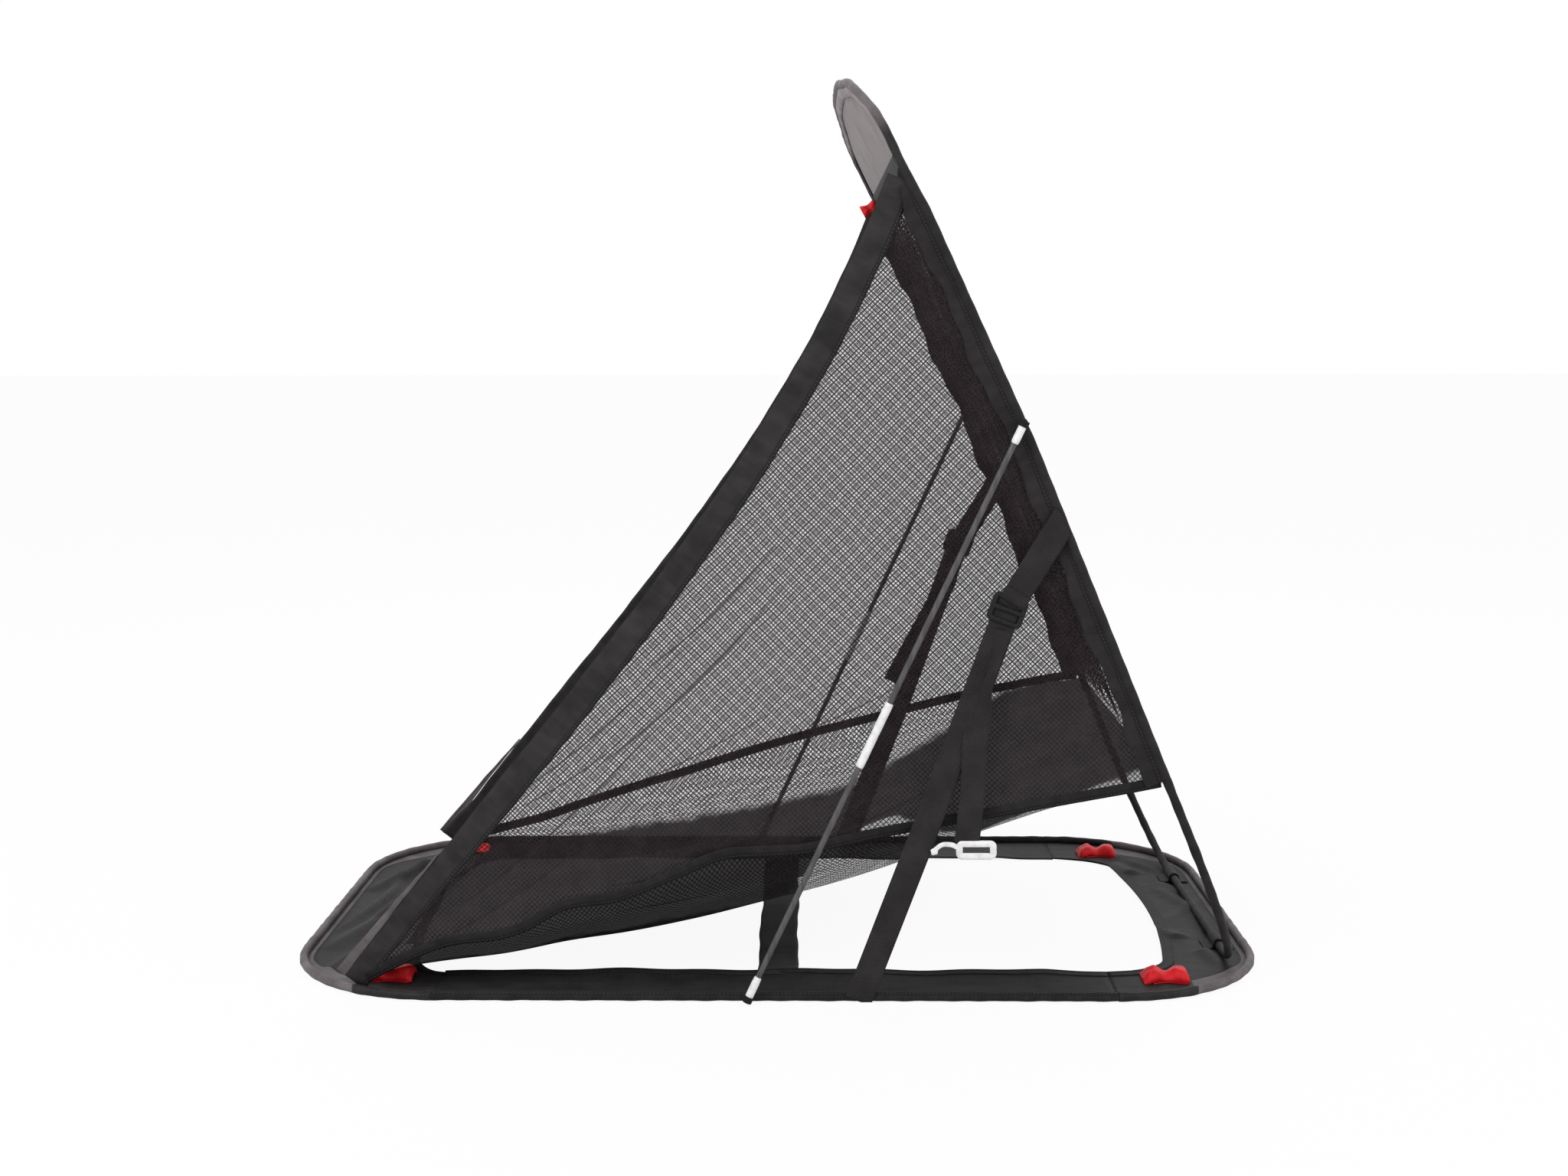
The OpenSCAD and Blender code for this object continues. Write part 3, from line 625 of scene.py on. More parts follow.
def seam_curve(a, b, u, v, count=70):
    """A curve from a to b that stands u off the straight line at a third, and v at two."""
    d = b - a
    n = np.array([-d[1], d[0]]) / np.linalg.norm(d)
    t = np.linspace(0, 1, count)[:, None]
    return (a * (1 - t) ** 3 + 3 * (a + d / 3 + u * n) * t * (1 - t) ** 2
            + 3 * (a + d * 2 / 3 + v * n) * t**2 * (1 - t) + b * t**3)


NET_FOOT = np.array([-395.0, 8.0])
TOP_BEND = PART[0] + PART[1]
CROWN_S = TOP_BEND + CROWN_FOOT
binding_line = seam_curve(NET_FOOT, on_hoop(CROWN_S - 5, NET_BACK), -15, -72)
seam_line = seam_curve(NET_FOOT, on_part(0, BARE, NET_BACK), 55, 17)

# the lines of doubled mesh fan out from the foot of the binding: from (x, z) to (x, z), width
# and height
net_creases = (
    (-352, 44, -60, 318, 3, 3.5),
    (-200, 190, 40, 430, 3, 3.0),
    (-345, 36, -150, 170, 2, 2.5),
    (-300, 36, 60, 215, 2, 2.5),
    (-120, 95, 230, 250, 2, 2.5),
)


def knitted(name, pitch, bar, thread, creases=(), dense=None):
    """A mesh of threads crossing on the slant, bar of each pitch wide, knotted where they
    cross.  A crease is a line of doubled mesh, drawn as it lies on the piece.  dense is half
    the width of a close-knitted middle, which widens toward the far and upper corner."""
    f = Finish(name, thread, 0.8, Specular_IOR_Level=0.08)
    point, u, v, _ = f.place()
    shift = f.noise(point, 0.05, 2.0) * 0.004
    one = ((u + v) * 0.7071 + shift).wave(pitch)
    two = ((u - v) * 0.7071 + shift).wave(pitch)
    edge = 0.5 + 0.5 * math.cos(math.pi * bar)
    threads = two.step(edge - 0.22, edge + 0.12)
    threads = one.step(edge - 0.22, edge + 0.12).maths("MAXIMUM", threads)
    threads = threads.maths("MAXIMUM", (one * two).step(edge - 0.42, edge - 0.12))
    cover = threads * 0.75 + 0.215
    for x0, z0, x1, z1, width, _ in creases:
        x0, z0, x1, z1 = (c / 1000 for c in (x0, z0, x1, z1))
        long = math.hypot(x1 - x0, z1 - z0)
        dx, dz = (x1 - x0) / long, (z1 - z0) / long
        t = ((u - x0) * dx + (v - z0) * dz) / long
        off = (u - x0) * -dz + (v - z0) * dx
        bow = (t * (1 - t)) * (0.2 * long)
        line = 1 - abs(off + bow).step(0.0004, width * 0.0007)
        line = line * t.step(0.0, 0.25) * (1 - t.step(0.6, 1.0))
        cover = cover.maths("MAXIMUM", line * 0.85)
    shade = f.noise(point, 0.02, 3.0)
    tone = f.mix(shade.step(0.3, 0.7), thread, tuple(c * 1.6 for c in thread))
    if dense:
        moved = u.step(0.0, 0.06) * (1 - u.step(0.11, 0.2)) * 0.1
        spread = u.step(0.05, 0.33) * (v.step(-0.02, 0.08) * 0.08 + 0.06)
        middle = abs(v - moved) + moved + u * 0.13 - spread + (shade - 0.5) * 0.03
        middle = 1 - middle.step(dense - 0.014, dense + 0.014)
        cover = cover.maths("MAXIMUM", middle * 0.97)
        tone = f.mix(middle * (1 - threads * 0.55), tone, (0.0052, 0.0042, 0.0047))
    f.set("Base Color", tone)
    f.set("Alpha", cover)
    f.bump(threads, 0.0006, 0.5)
    return f.material


def ruled(lower, upper, behind, count):
    """Fill the space between two curves that start together and a line that joins their ends."""
    v = np.linspace(0, 1, count)
    t = np.linspace(0, 1, len(lower))[:, None, None]
    flat = lower[:, None] * (1 - v[:, None]) + upper[:, None] * v[:, None]
    at = np.linspace(0, 1, len(behind))
    edge = np.stack([np.interp(v, at, behind[:, k]) for k in range(2)], axis=1)
    return flat + t * (edge - flat[-1])


# how far the left and the right net's foot stands off a fair curve, in millimetres along
FOOT_DROP = {
    -1: ((-395, -336, -304, -258, -224, -209, -182, -150, -100, -49, 25, 100, 363),
         (0, 4, 2, -12, -11, -1, -3, -11, -3, 8, -5, -2, 0)),
    1: ((-395, -292, -199, -126, -27, 43, 106, 222, 341, 363),
        (0, -19, -20, -20, -13, -8, -5, 3, 4, 0)),
}


def net_foot(s):
    """The foot of the left or right net, which sags and waves between its ends."""
    waved = smoothed(np.interp(seam_line[:, 0], *FOOT_DROP[s]), 2)
    return seam_line + waved[:, None] * (0.0, 1.0)


def flatten(obj):
    """Give the piece its own copy of its mesh."""
    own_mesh(obj)


side_mesh = knitted("side_mesh", 0.0035, 0.20, (0.0195, 0.0145, 0.016), net_creases)
hoop_edge = np.array([on_hoop(s, NET_BACK) for s in np.linspace(BARE, CROWN_S - 5, 60)])
side_nets = {}
for name, s in SIDES:
    flat = ruled(net_foot(s), binding_line, hoop_edge, 64)
    a, b = np.meshgrid(*(np.linspace(0, 1, n) for n in flat.shape[:2]), indexing="ij")
    slack = 7 * np.sin(math.pi * a) ** 0.8 * np.sin(math.pi * b) * (1 + 0.3 * np.sin(9 * a + 5 * b))
    for *ends, width, high in net_creases:
        slack = slack + fold(flat[..., 0], flat[..., 1], *ends, width * 1.6, high)
    grid = on_side(s, flat, slack + 0.7)
    net = surface(
        f"side_mesh_{name}", grid, side_mesh, "base", f"side_net_{name}", uv=flat
    )
    flatten(net)
    side_nets[s] = (net, grid)

# ---- front bindings and foot tapes ----
# The front edge of each net is bound with a wide strip of folded nylon, sewn down both edges,
# and the foot is bound with a narrow tape that also takes the edge of the hammock.
binding_nylon = nylon("binding_nylon", (0.017, 0.0156, 0.0162), (0.038, 0.035, 0.036), seam=0.0025)
tape_nylon = nylon("tape_nylon", (0.009, 0.0082, 0.0087), (0.021, 0.0192, 0.02), seam=0.002)
# the crown panel is grey cloth like the base's ends, written about twice as light: the extra
# lightness is painted light from above
grey_nylon_painted_light = nylon("grey_nylon_painted_light", (0.235, 0.208, 0.213), (0.33, 0.295, 0.30))
turned_nylon = nylon("turned_nylon", (0.085, 0.075, 0.077), (0.15, 0.134, 0.137))


def beside(line, e):
    """The points e to the left of a line, where e is one number or a column of them."""
    d = unit(np.gradient(line, axis=0))
    return line + e * np.stack([-d[:, 1], d[:, 0]], axis=1)


def ahead_of_hoop(points, least=2.5):
    """Push points (x, z) forward until they lie least in front of the hoop's centreline."""
    for k in range(3):
        forward = np.array([-math.sin(LEAN[k]), -math.cos(LEAN[k])])
        short = np.maximum(0.0, least - (points - on_part(k, 0)) @ forward)
        points = points + short[:, None] * forward
    return points


def side_strip(
    name, line, s, low, high, material, node=None, stops=None, inward=0.0, thick=1.2, count=8
):
    """A strip of cloth along a line on a side net, from low to high beside it.  Both are given
    at stops, millimetres along, or at the two ends."""
    line, run = measured(line, 6.0)
    low, high = (np.interp(run, stops or (0, run[-1]), e) for e in (low, high))
    wander = ripple(run, (0.5, 143, 0.3), (0.35, 57, 1.9), (0.2, 31, 0.8))
    rows = []
    for t in np.linspace(0, 1, count):
        puff = 0.5 * math.sin(math.pi * t) + ripple(run, (0.28, 27, 9 * t), (0.2, 17, 18 * t))
        beyond = (low + (high - low) * t)[:, None]
        row = on_side(s, ahead_of_hoop(beside(line, beyond)), inward - puff)
        row[:-4, 0] += wander[:-4] * 0.6
        rows.append(row)
    rows = np.stack(rows, axis=1)
    piece = surface(name, rows, material, "base", node, thick=thick)
    flatten(piece)
    return piece


for name, s in SIDES:
    net, grid = side_nets[s]
    front = side_strip(
        f"front_binding_{name}", binding_line, s, (-10, -9.5, -13), (19, 12.5, 13.5),
        binding_nylon, f"binding_{name}", stops=(0, 55, 230),
    )
    turned_edge = side_strip(
        f"binding_turn_{name}", binding_line[:12], s, (13.0, 13.5), (23.0, 14.5), turned_nylon,
        inward=-0.7, thick=0.7,
    )
    foot = side_strip(
        f"foot_tape_{name}", net_foot(s)[1:], s, (-5, -5), (5, 5), tape_nylon, f"seam_{name}",
        inward=-0.3, count=6,
    )

# ---- hammock ----
# A dense mesh floor hangs slack between the two foot tapes and slopes down to the front, so
# that the balls roll back to the player.
hammock_mesh = knitted("hammock_mesh", 0.0034, 0.22, (0.0082, 0.0064, 0.0072), dense=0.205)
edges = {s: beside(net_foot(s), -5) for s in (-1, 1)}
v = np.linspace(-1, 1, 73)
side = (v + 1) / 2
rows = []
for k in range(2, 70):
    u = max(0.0, (k / 69 - 1 / 16) / (14 / 16))
    sag = max(0.0, math.sin(math.pi * u)) ** 0.7 + math.sin(math.pi * u**1.6) ** 2
    low = 4 + 181 * u**1.4 - 9 * sag
    left, right = (on_side(s, np.array([e[k][0], max(e[k][1], low)])) for s, e in edges.items())
    top = left[2] * (1 - side) + right[2] * side
    free = (1 - v * v) * min(1.0, 2.2 * u) * (1 - 0.45 * u)
    waves = (5 * np.cos(math.pi * 5 * v + 2.5 * u) + 3 * np.sin(17 * v + 9 * u)
             + 2 * np.sin(31 * v - 14 * u))
    z = low + (top - low) * v**6 + free * waves
    y = left[1] * (1 - side) + right[1] * side - 1.2 * v
    x = seam_line[k, 0] + free * 3 * np.sin(9 * v + 6 * u)
    rows.append(np.c_[x, y, np.maximum(z, 3.0)])
# the last row is caught against the foot of the rear net
joined = rows[-1].copy()
joined[:, 0], joined[:, 2] = on_part(0, BARE, 0.6)
rows.append(joined)
hammock = surface(
    "hammock_mesh_floor", rows, hammock_mesh, "base", "hammock_net",
    uv=np.asarray(rows)[..., :2],
)
flatten(hammock)

# ---- standing hoop: hems and sleeves ----
# The foot of the hoop is a bare round hem.  Higher up the wire runs in a sleeve with a flat
# edge that holds the nets, and the crown's hem is grey.
FORWARD = [np.array([-math.sin(a), 0.0, -math.cos(a)]) for a in LEAN]


def at_y(p, y):
    """Set a point (x, z) at y across the net."""
    return (p[0], y, p[1])


a = np.linspace(0, math.pi / 2, 22)
corner = np.stack([BEND - BEND * np.sin(a), END_Y + BEND * np.cos(a)], axis=1)
foot = [(BARE, -WIDE / 2), *(corner * (1, -1)), *corner[::-1], (BARE, WIDE / 2)]
foot_ring = spaced([at_y(on_part(0, x), y) for x, y in foot], 5)
hem_tube(
    "hoop_foot_hem", foot_ring, black_hem, "rear_frame", "rear_foot_hem", FORWARD[0]
)


def crown_line(radius, start):
    """A line round the crown, radius from the bends' centres, as (along part 2, across)."""
    x, y = PART[2] - BEND, END_Y
    a = np.linspace(math.asin((start - x) / radius), math.pi / 2, 40)
    side = np.stack([x + radius * np.sin(a), y + radius * np.cos(a)], axis=1)
    middle = [(x + radius, t) for t in np.linspace(-y, y, 40)[1:-1]]
    return np.concatenate([side * (1, -1), middle, side[::-1]])


def on_crown(points, n):
    """Set points on the crown, n forward of it.  The pull of the panel rounds its corners and
    bends its left side back."""
    placed = []
    for x, y in points:
        up = max(0.0, x - CROWN_FOOT) / (PART[2] - CROWN_FOOT)
        back = 4.4 * math.exp(-(((y + 262) / 42) ** 2)) * math.sin(math.pi * min(1.0, up * 1.15))
        pull = 20 * math.exp(-(((y - 178) / 62) ** 2)) + 10 * math.exp(-(((y + 160) / 55) ** 2)) - 1
        placed.append(at_y(on_part(2, x - up * pull, n - back), y))
    return placed


crown_up = (-math.cos(LEAN[2]), -0.05, math.sin(LEAN[2]))
crown_at = on_part(2, 0) @ (crown_up[0], crown_up[2]) / 1000
# the crown's hem is the base's grey cloth written 1.15 times lighter, painted light from above, and
# its 28 mm fade to black is painted shade where the tube turns from the light
grey_hem = end_hem_finish("crown_hem_finish", crown_up, 0.108 + crown_at, 1.15, 0.028)
crown_top = on_crown(crown_line(BEND, 41), 0)
hem_tube(
    "crown_hem_cloth", crown_top, grey_hem, "rear_frame", "crown_hem", FORWARD[2]
)

# the wire runs all the way round inside the hems and sleeves
leg = [on_hoop(t) for t in np.arange(BARE + 6, TOP_BEND + 40, 6)]
left_leg, right_leg = ([at_y(p, s * WIDE / 2) for p in leg] for s in (-1, 1))
wire_line = spaced([*foot_ring, *right_leg, *crown_top[::-1], *left_leg[::-1]], 6)
surface(
    "hoop_wire", swept(wire_line, FORWARD[1], oval(1.8, 1.8, 8)), steel.material, "rear_frame",
    "rear_wire", wrap=(True, True),
)

sleeve_nylon = nylon("sleeve_nylon", (0.013, 0.0117, 0.0124), (0.029, 0.0264, 0.0273), seam=0.0125)
for name, s in SIDES:
    leg = [at_y(on_hoop(t), s * WIDE / 2) for t in np.arange(BARE, TOP_BEND + 10, 6)]
    for t in np.linspace(0.0, 0.72, 60):
        x, y = PART[2] - BEND + BEND * math.sin(t), END_Y + BEND * math.cos(t)
        if x < CROWN_FOOT + 5:
            leg.append(at_y(on_part(2, x), s * y))
    line, run = measured(leg, 5.0)
    bends = (0, PART[0] - 20, PART[0] + 20, TOP_BEND - 15, TOP_BEND + 15)
    lean = np.interp(run + BARE, bends, LEAN[[0, 0, 1, 1, 2]])
    ahead = np.stack([-np.sin(lean), 0 * lean, -np.cos(lean)], axis=1)
    narrowed = np.clip((run[-1] - run) / 40, 0, 1) ** 0.6
    width = (14 + ripple(run, (2.2, 131, 0.2), (1.2, 47, 1.1))) * narrowed
    a = np.linspace(0.42, 2 * math.pi - 0.42, 15)
    rows = []
    for at, wide in zip(run, width):
        r = HEM / 2 - 0.25 + 0.15 * math.sin(at / 4.1)
        r += 0.4 * np.clip((at - run[-1] + 14) / 6, 0, 1)
        wave = 0.5 * math.sin(at / 13) + 0.35 * math.sin(at / 7.7 + 1)
        edge = np.linspace(wide + HEM / 2, HEM / 2 + 0.6, 7)
        edge = [(x, 0.55 + wave * min(1, (x - 5) / 12)) for x in edge]
        round_wire = [(r * math.cos(t), r * math.sin(t)) for t in a]
        rows.append([*edge, *round_wire, *((x, w - 1.1) for x, w in edge[::-1])])
    surface(
        f"sleeve_cloth_{name}", swept(line, ahead, rows), sleeve_nylon, "rear_frame",
        f"sleeve_{name}", wrap=(False, True),
    )

# ---- crown panel ----
# The head of the hoop is closed with a plain grey panel of laminated nylon, a little padded,
# with a cord piped round it inside the hem.
grid = []
up = np.linspace(0, 1, 22)
for y in np.linspace(-WIDE / 2 + 7, WIDE / 2 - 7, 90):
    top = PART[2] - BEND + bend_reach(abs(y) - END_Y, BEND - 2.8)
    xs = np.linspace(CROWN_FOOT, max(top, CROWN_FOOT + 0.2), 22)
    puff = 1.6 * np.sin(math.pi * up) * math.cos(math.pi * y / (WIDE + 40))
    grid.append([on_crown([(x, y)], n)[0] for x, n in zip(xs, puff)])
panel = surface(
    "crown_cloth", grid, grey_nylon_painted_light, "rear_frame", "crown_panel", thick=1.3
)

# the rim band inside the hem is the same grey cloth written 2.3 times lighter, painted light that
# it catches, and it fades to black over 28 mm as painted shade
rim_grey_painted_light = end_hem_finish("rim_grey_painted_light", crown_up, 0.104 + crown_at, 2.3, 0.028)
band = ((2.2, 0.6), (4.4, 2.6), (8, 3.4), (12, 3.2), (14.2, 2.6), (15.4, 1.2))
rows = np.stack([on_crown(crown_line(BEND - r, 50), n) for r, n in band], axis=1)
rim = surface("crown_rim", rows, rim_grey_painted_light, "rear_frame", None, thick=0.9)
rows = []
for x, n in ((37, 0.8), (39, 1.9), (46, 2.4), (54, 2.4), (60, 2.1), (61, 1.2)):
    half = END_Y + bend_reach(x - PART[2] + BEND) - 3.2
    ys = np.linspace(-half, half, 80)
    lift = n + ripple(ys, (0.25, 47, 1), (0.2, 19, x))
    rows.append([at_y(on_part(2, x, q), y) for y, q in zip(ys, lift)])
rows = np.stack(rows, axis=1)
crown_tape = surface(
    "crown_foot_tape", rows, tape_nylon, "rear_frame", None, thick=0.9
)

# of the two tabs, the left one lies along the hoop and the right one stands with its edge up
TAB_Y = 279.5
for name, place in (
    ("left", lambda p: at_y(on_part(2, 33 + p[0], 2.5 + 0.2 * p[2]), -TAB_Y - p[1])),
    ("right", lambda p: at_y(on_part(2, 50 + p[1], 2.6 + 0.75 * (p[0] + 13.2)), TAB_Y - p[2])),
):
    ribbon_tab(
        f"crown_pull_tab_{name}", place, 26.4, 15, 7.2, "rear_frame", f"crown_tab_{name}",
    )

# ---- rear net ----
# The same mesh closes the hoop behind the ball's path.  It is cut full and hangs in soft
# upright pleats, which is why it looks dense from the side.
rear_mesh = knitted("rear_mesh", 0.0034, 0.30, (0.015, 0.0115, 0.0127))
v = np.linspace(-1, 1, 150)
rows = []
for s in np.linspace(BARE, CROWN_S - 0.5, 96):
    y = v * (END_Y - HEM / 2 - 0.6 + bend_reach(s - (TOP_BEND + PART[2] - BEND)))
    h = (s - BARE) / (CROWN_S - BARE)
    free = np.clip((1 - abs(v)) * 12, 0, 1) * np.clip(np.sin(math.pi * h) * 3, 0, 1)
    pleat = (5.5 * np.sin(2 * math.pi * (y + 30 * h) / (74 + 12 * h))
             + 3.2 * np.sin(2 * math.pi * (y - 55 * h) / 41 + 1.1)
             + 2.2 * np.sin(2 * math.pi * y / 23 + 5 * h) + 2.0 * np.sin(7 * h + y / 60))
    bag = 3 * np.sin(math.pi * h) * (1 - v * v)
    n = np.clip(free * pleat + bag + 1.0, -3.2, 12)
    rows.append([at_y(on_hoop(s, m), b) for m, b in zip(n, y)])
rear = surface("rear_mesh_cloth", rows, rear_mesh, "rear_frame", "rear_net")

# ---- poles ----
# Each side is propped by a dark fibreglass rod in two halves.  A white ferrule joins them, and
# white tips swing in cloth loops at the base and on the hoop.
POLE_Y = 308.55
POLE_FOOT = np.array([-24.0, 6.0])
POLE_TOP = on_part(1, 22)
POLE_L = float(np.linalg.norm(POLE_TOP - POLE_FOOT))
POLE_UP = (POLE_TOP - POLE_FOOT) / POLE_L


def lathed(name, origin, axis, outline, material, body, node, around=20):
    """A turned piece: outline is (along the axis, radius)."""
    axis = unit(axis)
    side = unit(np.cross(axis, (0.31, 0.95, 0.07)))
    over = np.cross(axis, side)
    spoke = oval(1, 1, around) @ [side, over]
    rows = [np.asarray(origin) + t * axis + r * spoke for t, r in outline]
    surface(name, rows, material, body, node, wrap=(False, True))


def rounded(t0, t1, r, edge):
    """The outline of a rod from t0 to t1 with softened, closed ends."""
    a = np.linspace(0, math.pi / 2, 5)
    curve = [(edge * (1 - math.cos(x)), r - edge + edge * math.sin(x)) for x in a]
    start, end = [(t0 + t, q) for t, q in curve], [(t1 - t, q) for t, q in curve[::-1]]
    middle = [(t, r) for t in np.linspace(t0 + edge, t1 - edge, 12)[1:-1]]
    return [(t0, 0.02), *start, *middle, *end, (t1, 0.02)]


def hard(name, size, detail, stretch, low, dark, light, rough, strength=0.3, **uniform):
    """A hard finish with marks about size metres across, which change its tone above low and
    its roughness by rough, as (more, least)."""
    f = Finish(name, dark, **uniform)
    where, *_ = f.place("Object")
    marks = f.noise(where, size, detail, stretch)
    f.set("Base Color", f.mix(marks.step(low, low + 0.4), dark, light))
    f.set("Roughness", marks * rough[0] + rough[1])
    f.bump(marks, 0.0002, strength)
    return f.material


rod = hard(
    "fibreglass_rod", 0.004, 2.0, (1.0, 1.0, 0.06), 0.3, (0.045, 0.043, 0.043),
    (0.085, 0.082, 0.082), (0.2, 0.26),
)
white = hard(
    "white_nylon_plastic", 0.006, 4.0, None, 0.35, (0.86, 0.86, 0.855), (0.70, 0.695, 0.69),
    (0.25, 0.28),
)
ROD_R = 2.75
axis = at_y(POLE_UP, 0)
tip = [(-4, 0.02), (-4, 1.6), (-3.2, 2.9), (-1.5, 3.6), (2, 3.75), (17, 3.75), (21, 3.5),
       (22.4, 3.2), (23, 2.7)]
ferrule = [(239.25, 2.7), (239.3, 3.3), (240.2, 3.75), (243, 3.9), (270, 3.9), (271, 3.7),
           (273, 3.7), (274, 3.9), (301, 3.9), (303.8, 3.75), (304.7, 3.3), (304.75, 2.2)]
top = [(-20, 2.7), (-19.6, 3.3), (-18, 3.7), (-16, 3.75), (-2, 3.75), (0, 3.6), (1.6, 2.6),
       (2.2, 1.4), (2.2, 0.02)]
top = [(POLE_L + t, r) for t, r in top]
for name, s in SIDES:
    origin = at_y(POLE_FOOT, s * POLE_Y)
    for piece, node, outline, finish, slot, body in (
        ("low_pole_rod", "low_rod", rounded(22.4, 240.5, ROD_R, 0.3), rod, "rod", "pole_low"),
        ("low_pole_tip", "low_tip", tip, white, "white_plastic", "pole_low"),
        ("pole_ferrule", "ferrule", ferrule, white, "white_plastic", "pole_low"),
        ("high_pole_rod", "high_rod", rounded(305.1, POLE_L - 19, ROD_R, 0.6), rod, "rod",
         "pole_high"),
        ("high_pole_tip", "high_tip", top, white, "white_plastic", "pole_high"),
    ):
        lathed(f"{piece}_{name}", origin, axis, outline, finish, f"{body}_{name}",
               f"{node}_{name}")

# ---- pole loops and patches ----
# A ring of doubled tape holds each tip, and a small stitched patch ties it to the hem.
band = [(-3, 3.88), (-3, 4.5), (-2.4, 4.8), (-1, 4.85), (0, 4.7), (1, 4.85), (2.4, 4.8), (3, 4.5),
        (3, 3.88)]
button = [(6.2, 4.4), (7.4, 3.2), (7.8, 1.6), (8.8, 1.5), (8.9, 0.1)]
low_patch = [(3.2, 0.1), (3.3, 3.4), (4.0, 4.4), *button]
top_patch = [(3.2, 0.1), (3.3, 4.0), (4.0, 4.6), (4.2, 4.9), *button]
for name, s in SIDES:
    origin = at_y(POLE_FOOT, s * POLE_Y)
    for node, at, body in (("low_loop", 0.0, "pole_low"), ("high_loop", POLE_L, "pole_high")):
        outline = [(at + t, r) for t, r in band]
        lathed(f"tip_{node}_{name}", origin, axis, outline, tape_nylon, f"{body}_{name}",
               f"{node}_{name}")
    for node, p, body, outline in (
        ("pole_patch", POLE_FOOT, "base", low_patch),
        ("top_patch", POLE_TOP, "rear_frame", top_patch),
    ):
        lathed(f"{node}_cloth_{name}", at_y(p, s * WIDE / 2), (0, s, 0), outline, tape_nylon, body,
               f"{node}_{name}", 16)

# ---- webbing straps ----
# On each side a short length of webbing is sewn to the hoop and carries a ladder buckle.  A
# longer one comes up from the base, turns round the buckle's bars and hangs loose.
STRAP_TOP = on_part(0, 476)
STRAP_DIR = -np.array([math.cos(math.radians(58)), math.sin(math.radians(58))])
BUCKLE = STRAP_TOP + 96 * STRAP_DIR
STRAP_FOOT = np.array([78.0, 1.9])
LOW_DIR = unit(STRAP_FOOT - BUCKLE)
STRAP_Y, TAIL_Y, BUCKLE_Y = 300.9, 302.4, 303.0
hoop_front = np.array([-math.sin(LEAN[0]), -math.cos(LEAN[0])])

webbing = Finish("webbing", (0.03, 0.028, 0.029), 0.7, Sheen_Weight=0.02, Specular_IOR_Level=0.13)
point, u, v, _ = webbing.place()
ribs = (u + v.wave(0.0052) * 0.0009).wave(0.0019)
cords = v.wave(0.0026)
worn = webbing.noise(point, 0.03, 3.0)
tone = webbing.mix(worn.step(0.3, 0.75), (0.015, 0.0133, 0.0141), (0.030, 0.0272, 0.0283))
webbing.set("Base Color", webbing.mix(ribs * 0.35, tone, (0.044, 0.0402, 0.0415)))
webbing.set("Roughness", worn * 0.2 + 0.6)
webbing.bump(ribs * 0.6 + cords * 0.4, 0.0008, 0.8)


def strap(name, line, s, width, y, body, node, twist=(0, 0), cut=None):
    """Webbing along a line of (x, z) at y out from the middle, its face outward; twist turns it
    about its length, in radians.  y and twist are read evenly along it.  cut is a line's normal
    and least distance and the way that what lies beyond the line is pushed back."""
    line = spaced(line, 4)
    y, turn = (
        np.interp(np.linspace(0, 1, len(line)), np.linspace(0, 1, len(e)), e) for e in (y, twist)
    )
    d = unit(np.gradient(line, axis=0))
    rows = []
    for k in range(len(line)):
        row = []
        for w in np.linspace(-width / 2, width / 2, 9):
            p = line[k] + w * math.cos(turn[k]) * np.array([-d[k, 1], d[k, 0]])
            bow = 0.25 * (1 - (2 * w / width) ** 2)
            if cut is not None:
                normal, least, back = cut
                p = p + back * max(0.0, least - p @ normal) / (back @ normal)
            row.append(at_y(p, s * (y[k] + w * math.sin(turn[k]) + bow)))
        rows.append(row)
    return surface(name, rows, webbing.material, body, node, thick=1.1), rows


plastic = hard(
    "buckle_plastic", 0.0015, 3.0, None, 0.3, (0.005, 0.005, 0.0055), (0.012, 0.012, 0.013),
    (0.25, 0.2), 0.4, Specular_IOR_Level=0.22,
)


def link(x0, x1, y, r, count):
    """The outline of a frame whose corners, of radius r, are centred at x0 or x1 and y or -y."""
    return [
        (cx + r * math.cos(t), cy + r * math.sin(t))
        for cx, cy, start in ((x1, y, 0), (x0, y, 90), (x0, -y, 180), (x1, -y, 270))
        for t in np.radians(np.linspace(start, start + 90, count))
    ]


def closed(line, side, section):
    """Carry a section all the way round a closed line."""
    return swept([line[-1], *line, *line[:2]], side, section)[1:-2]


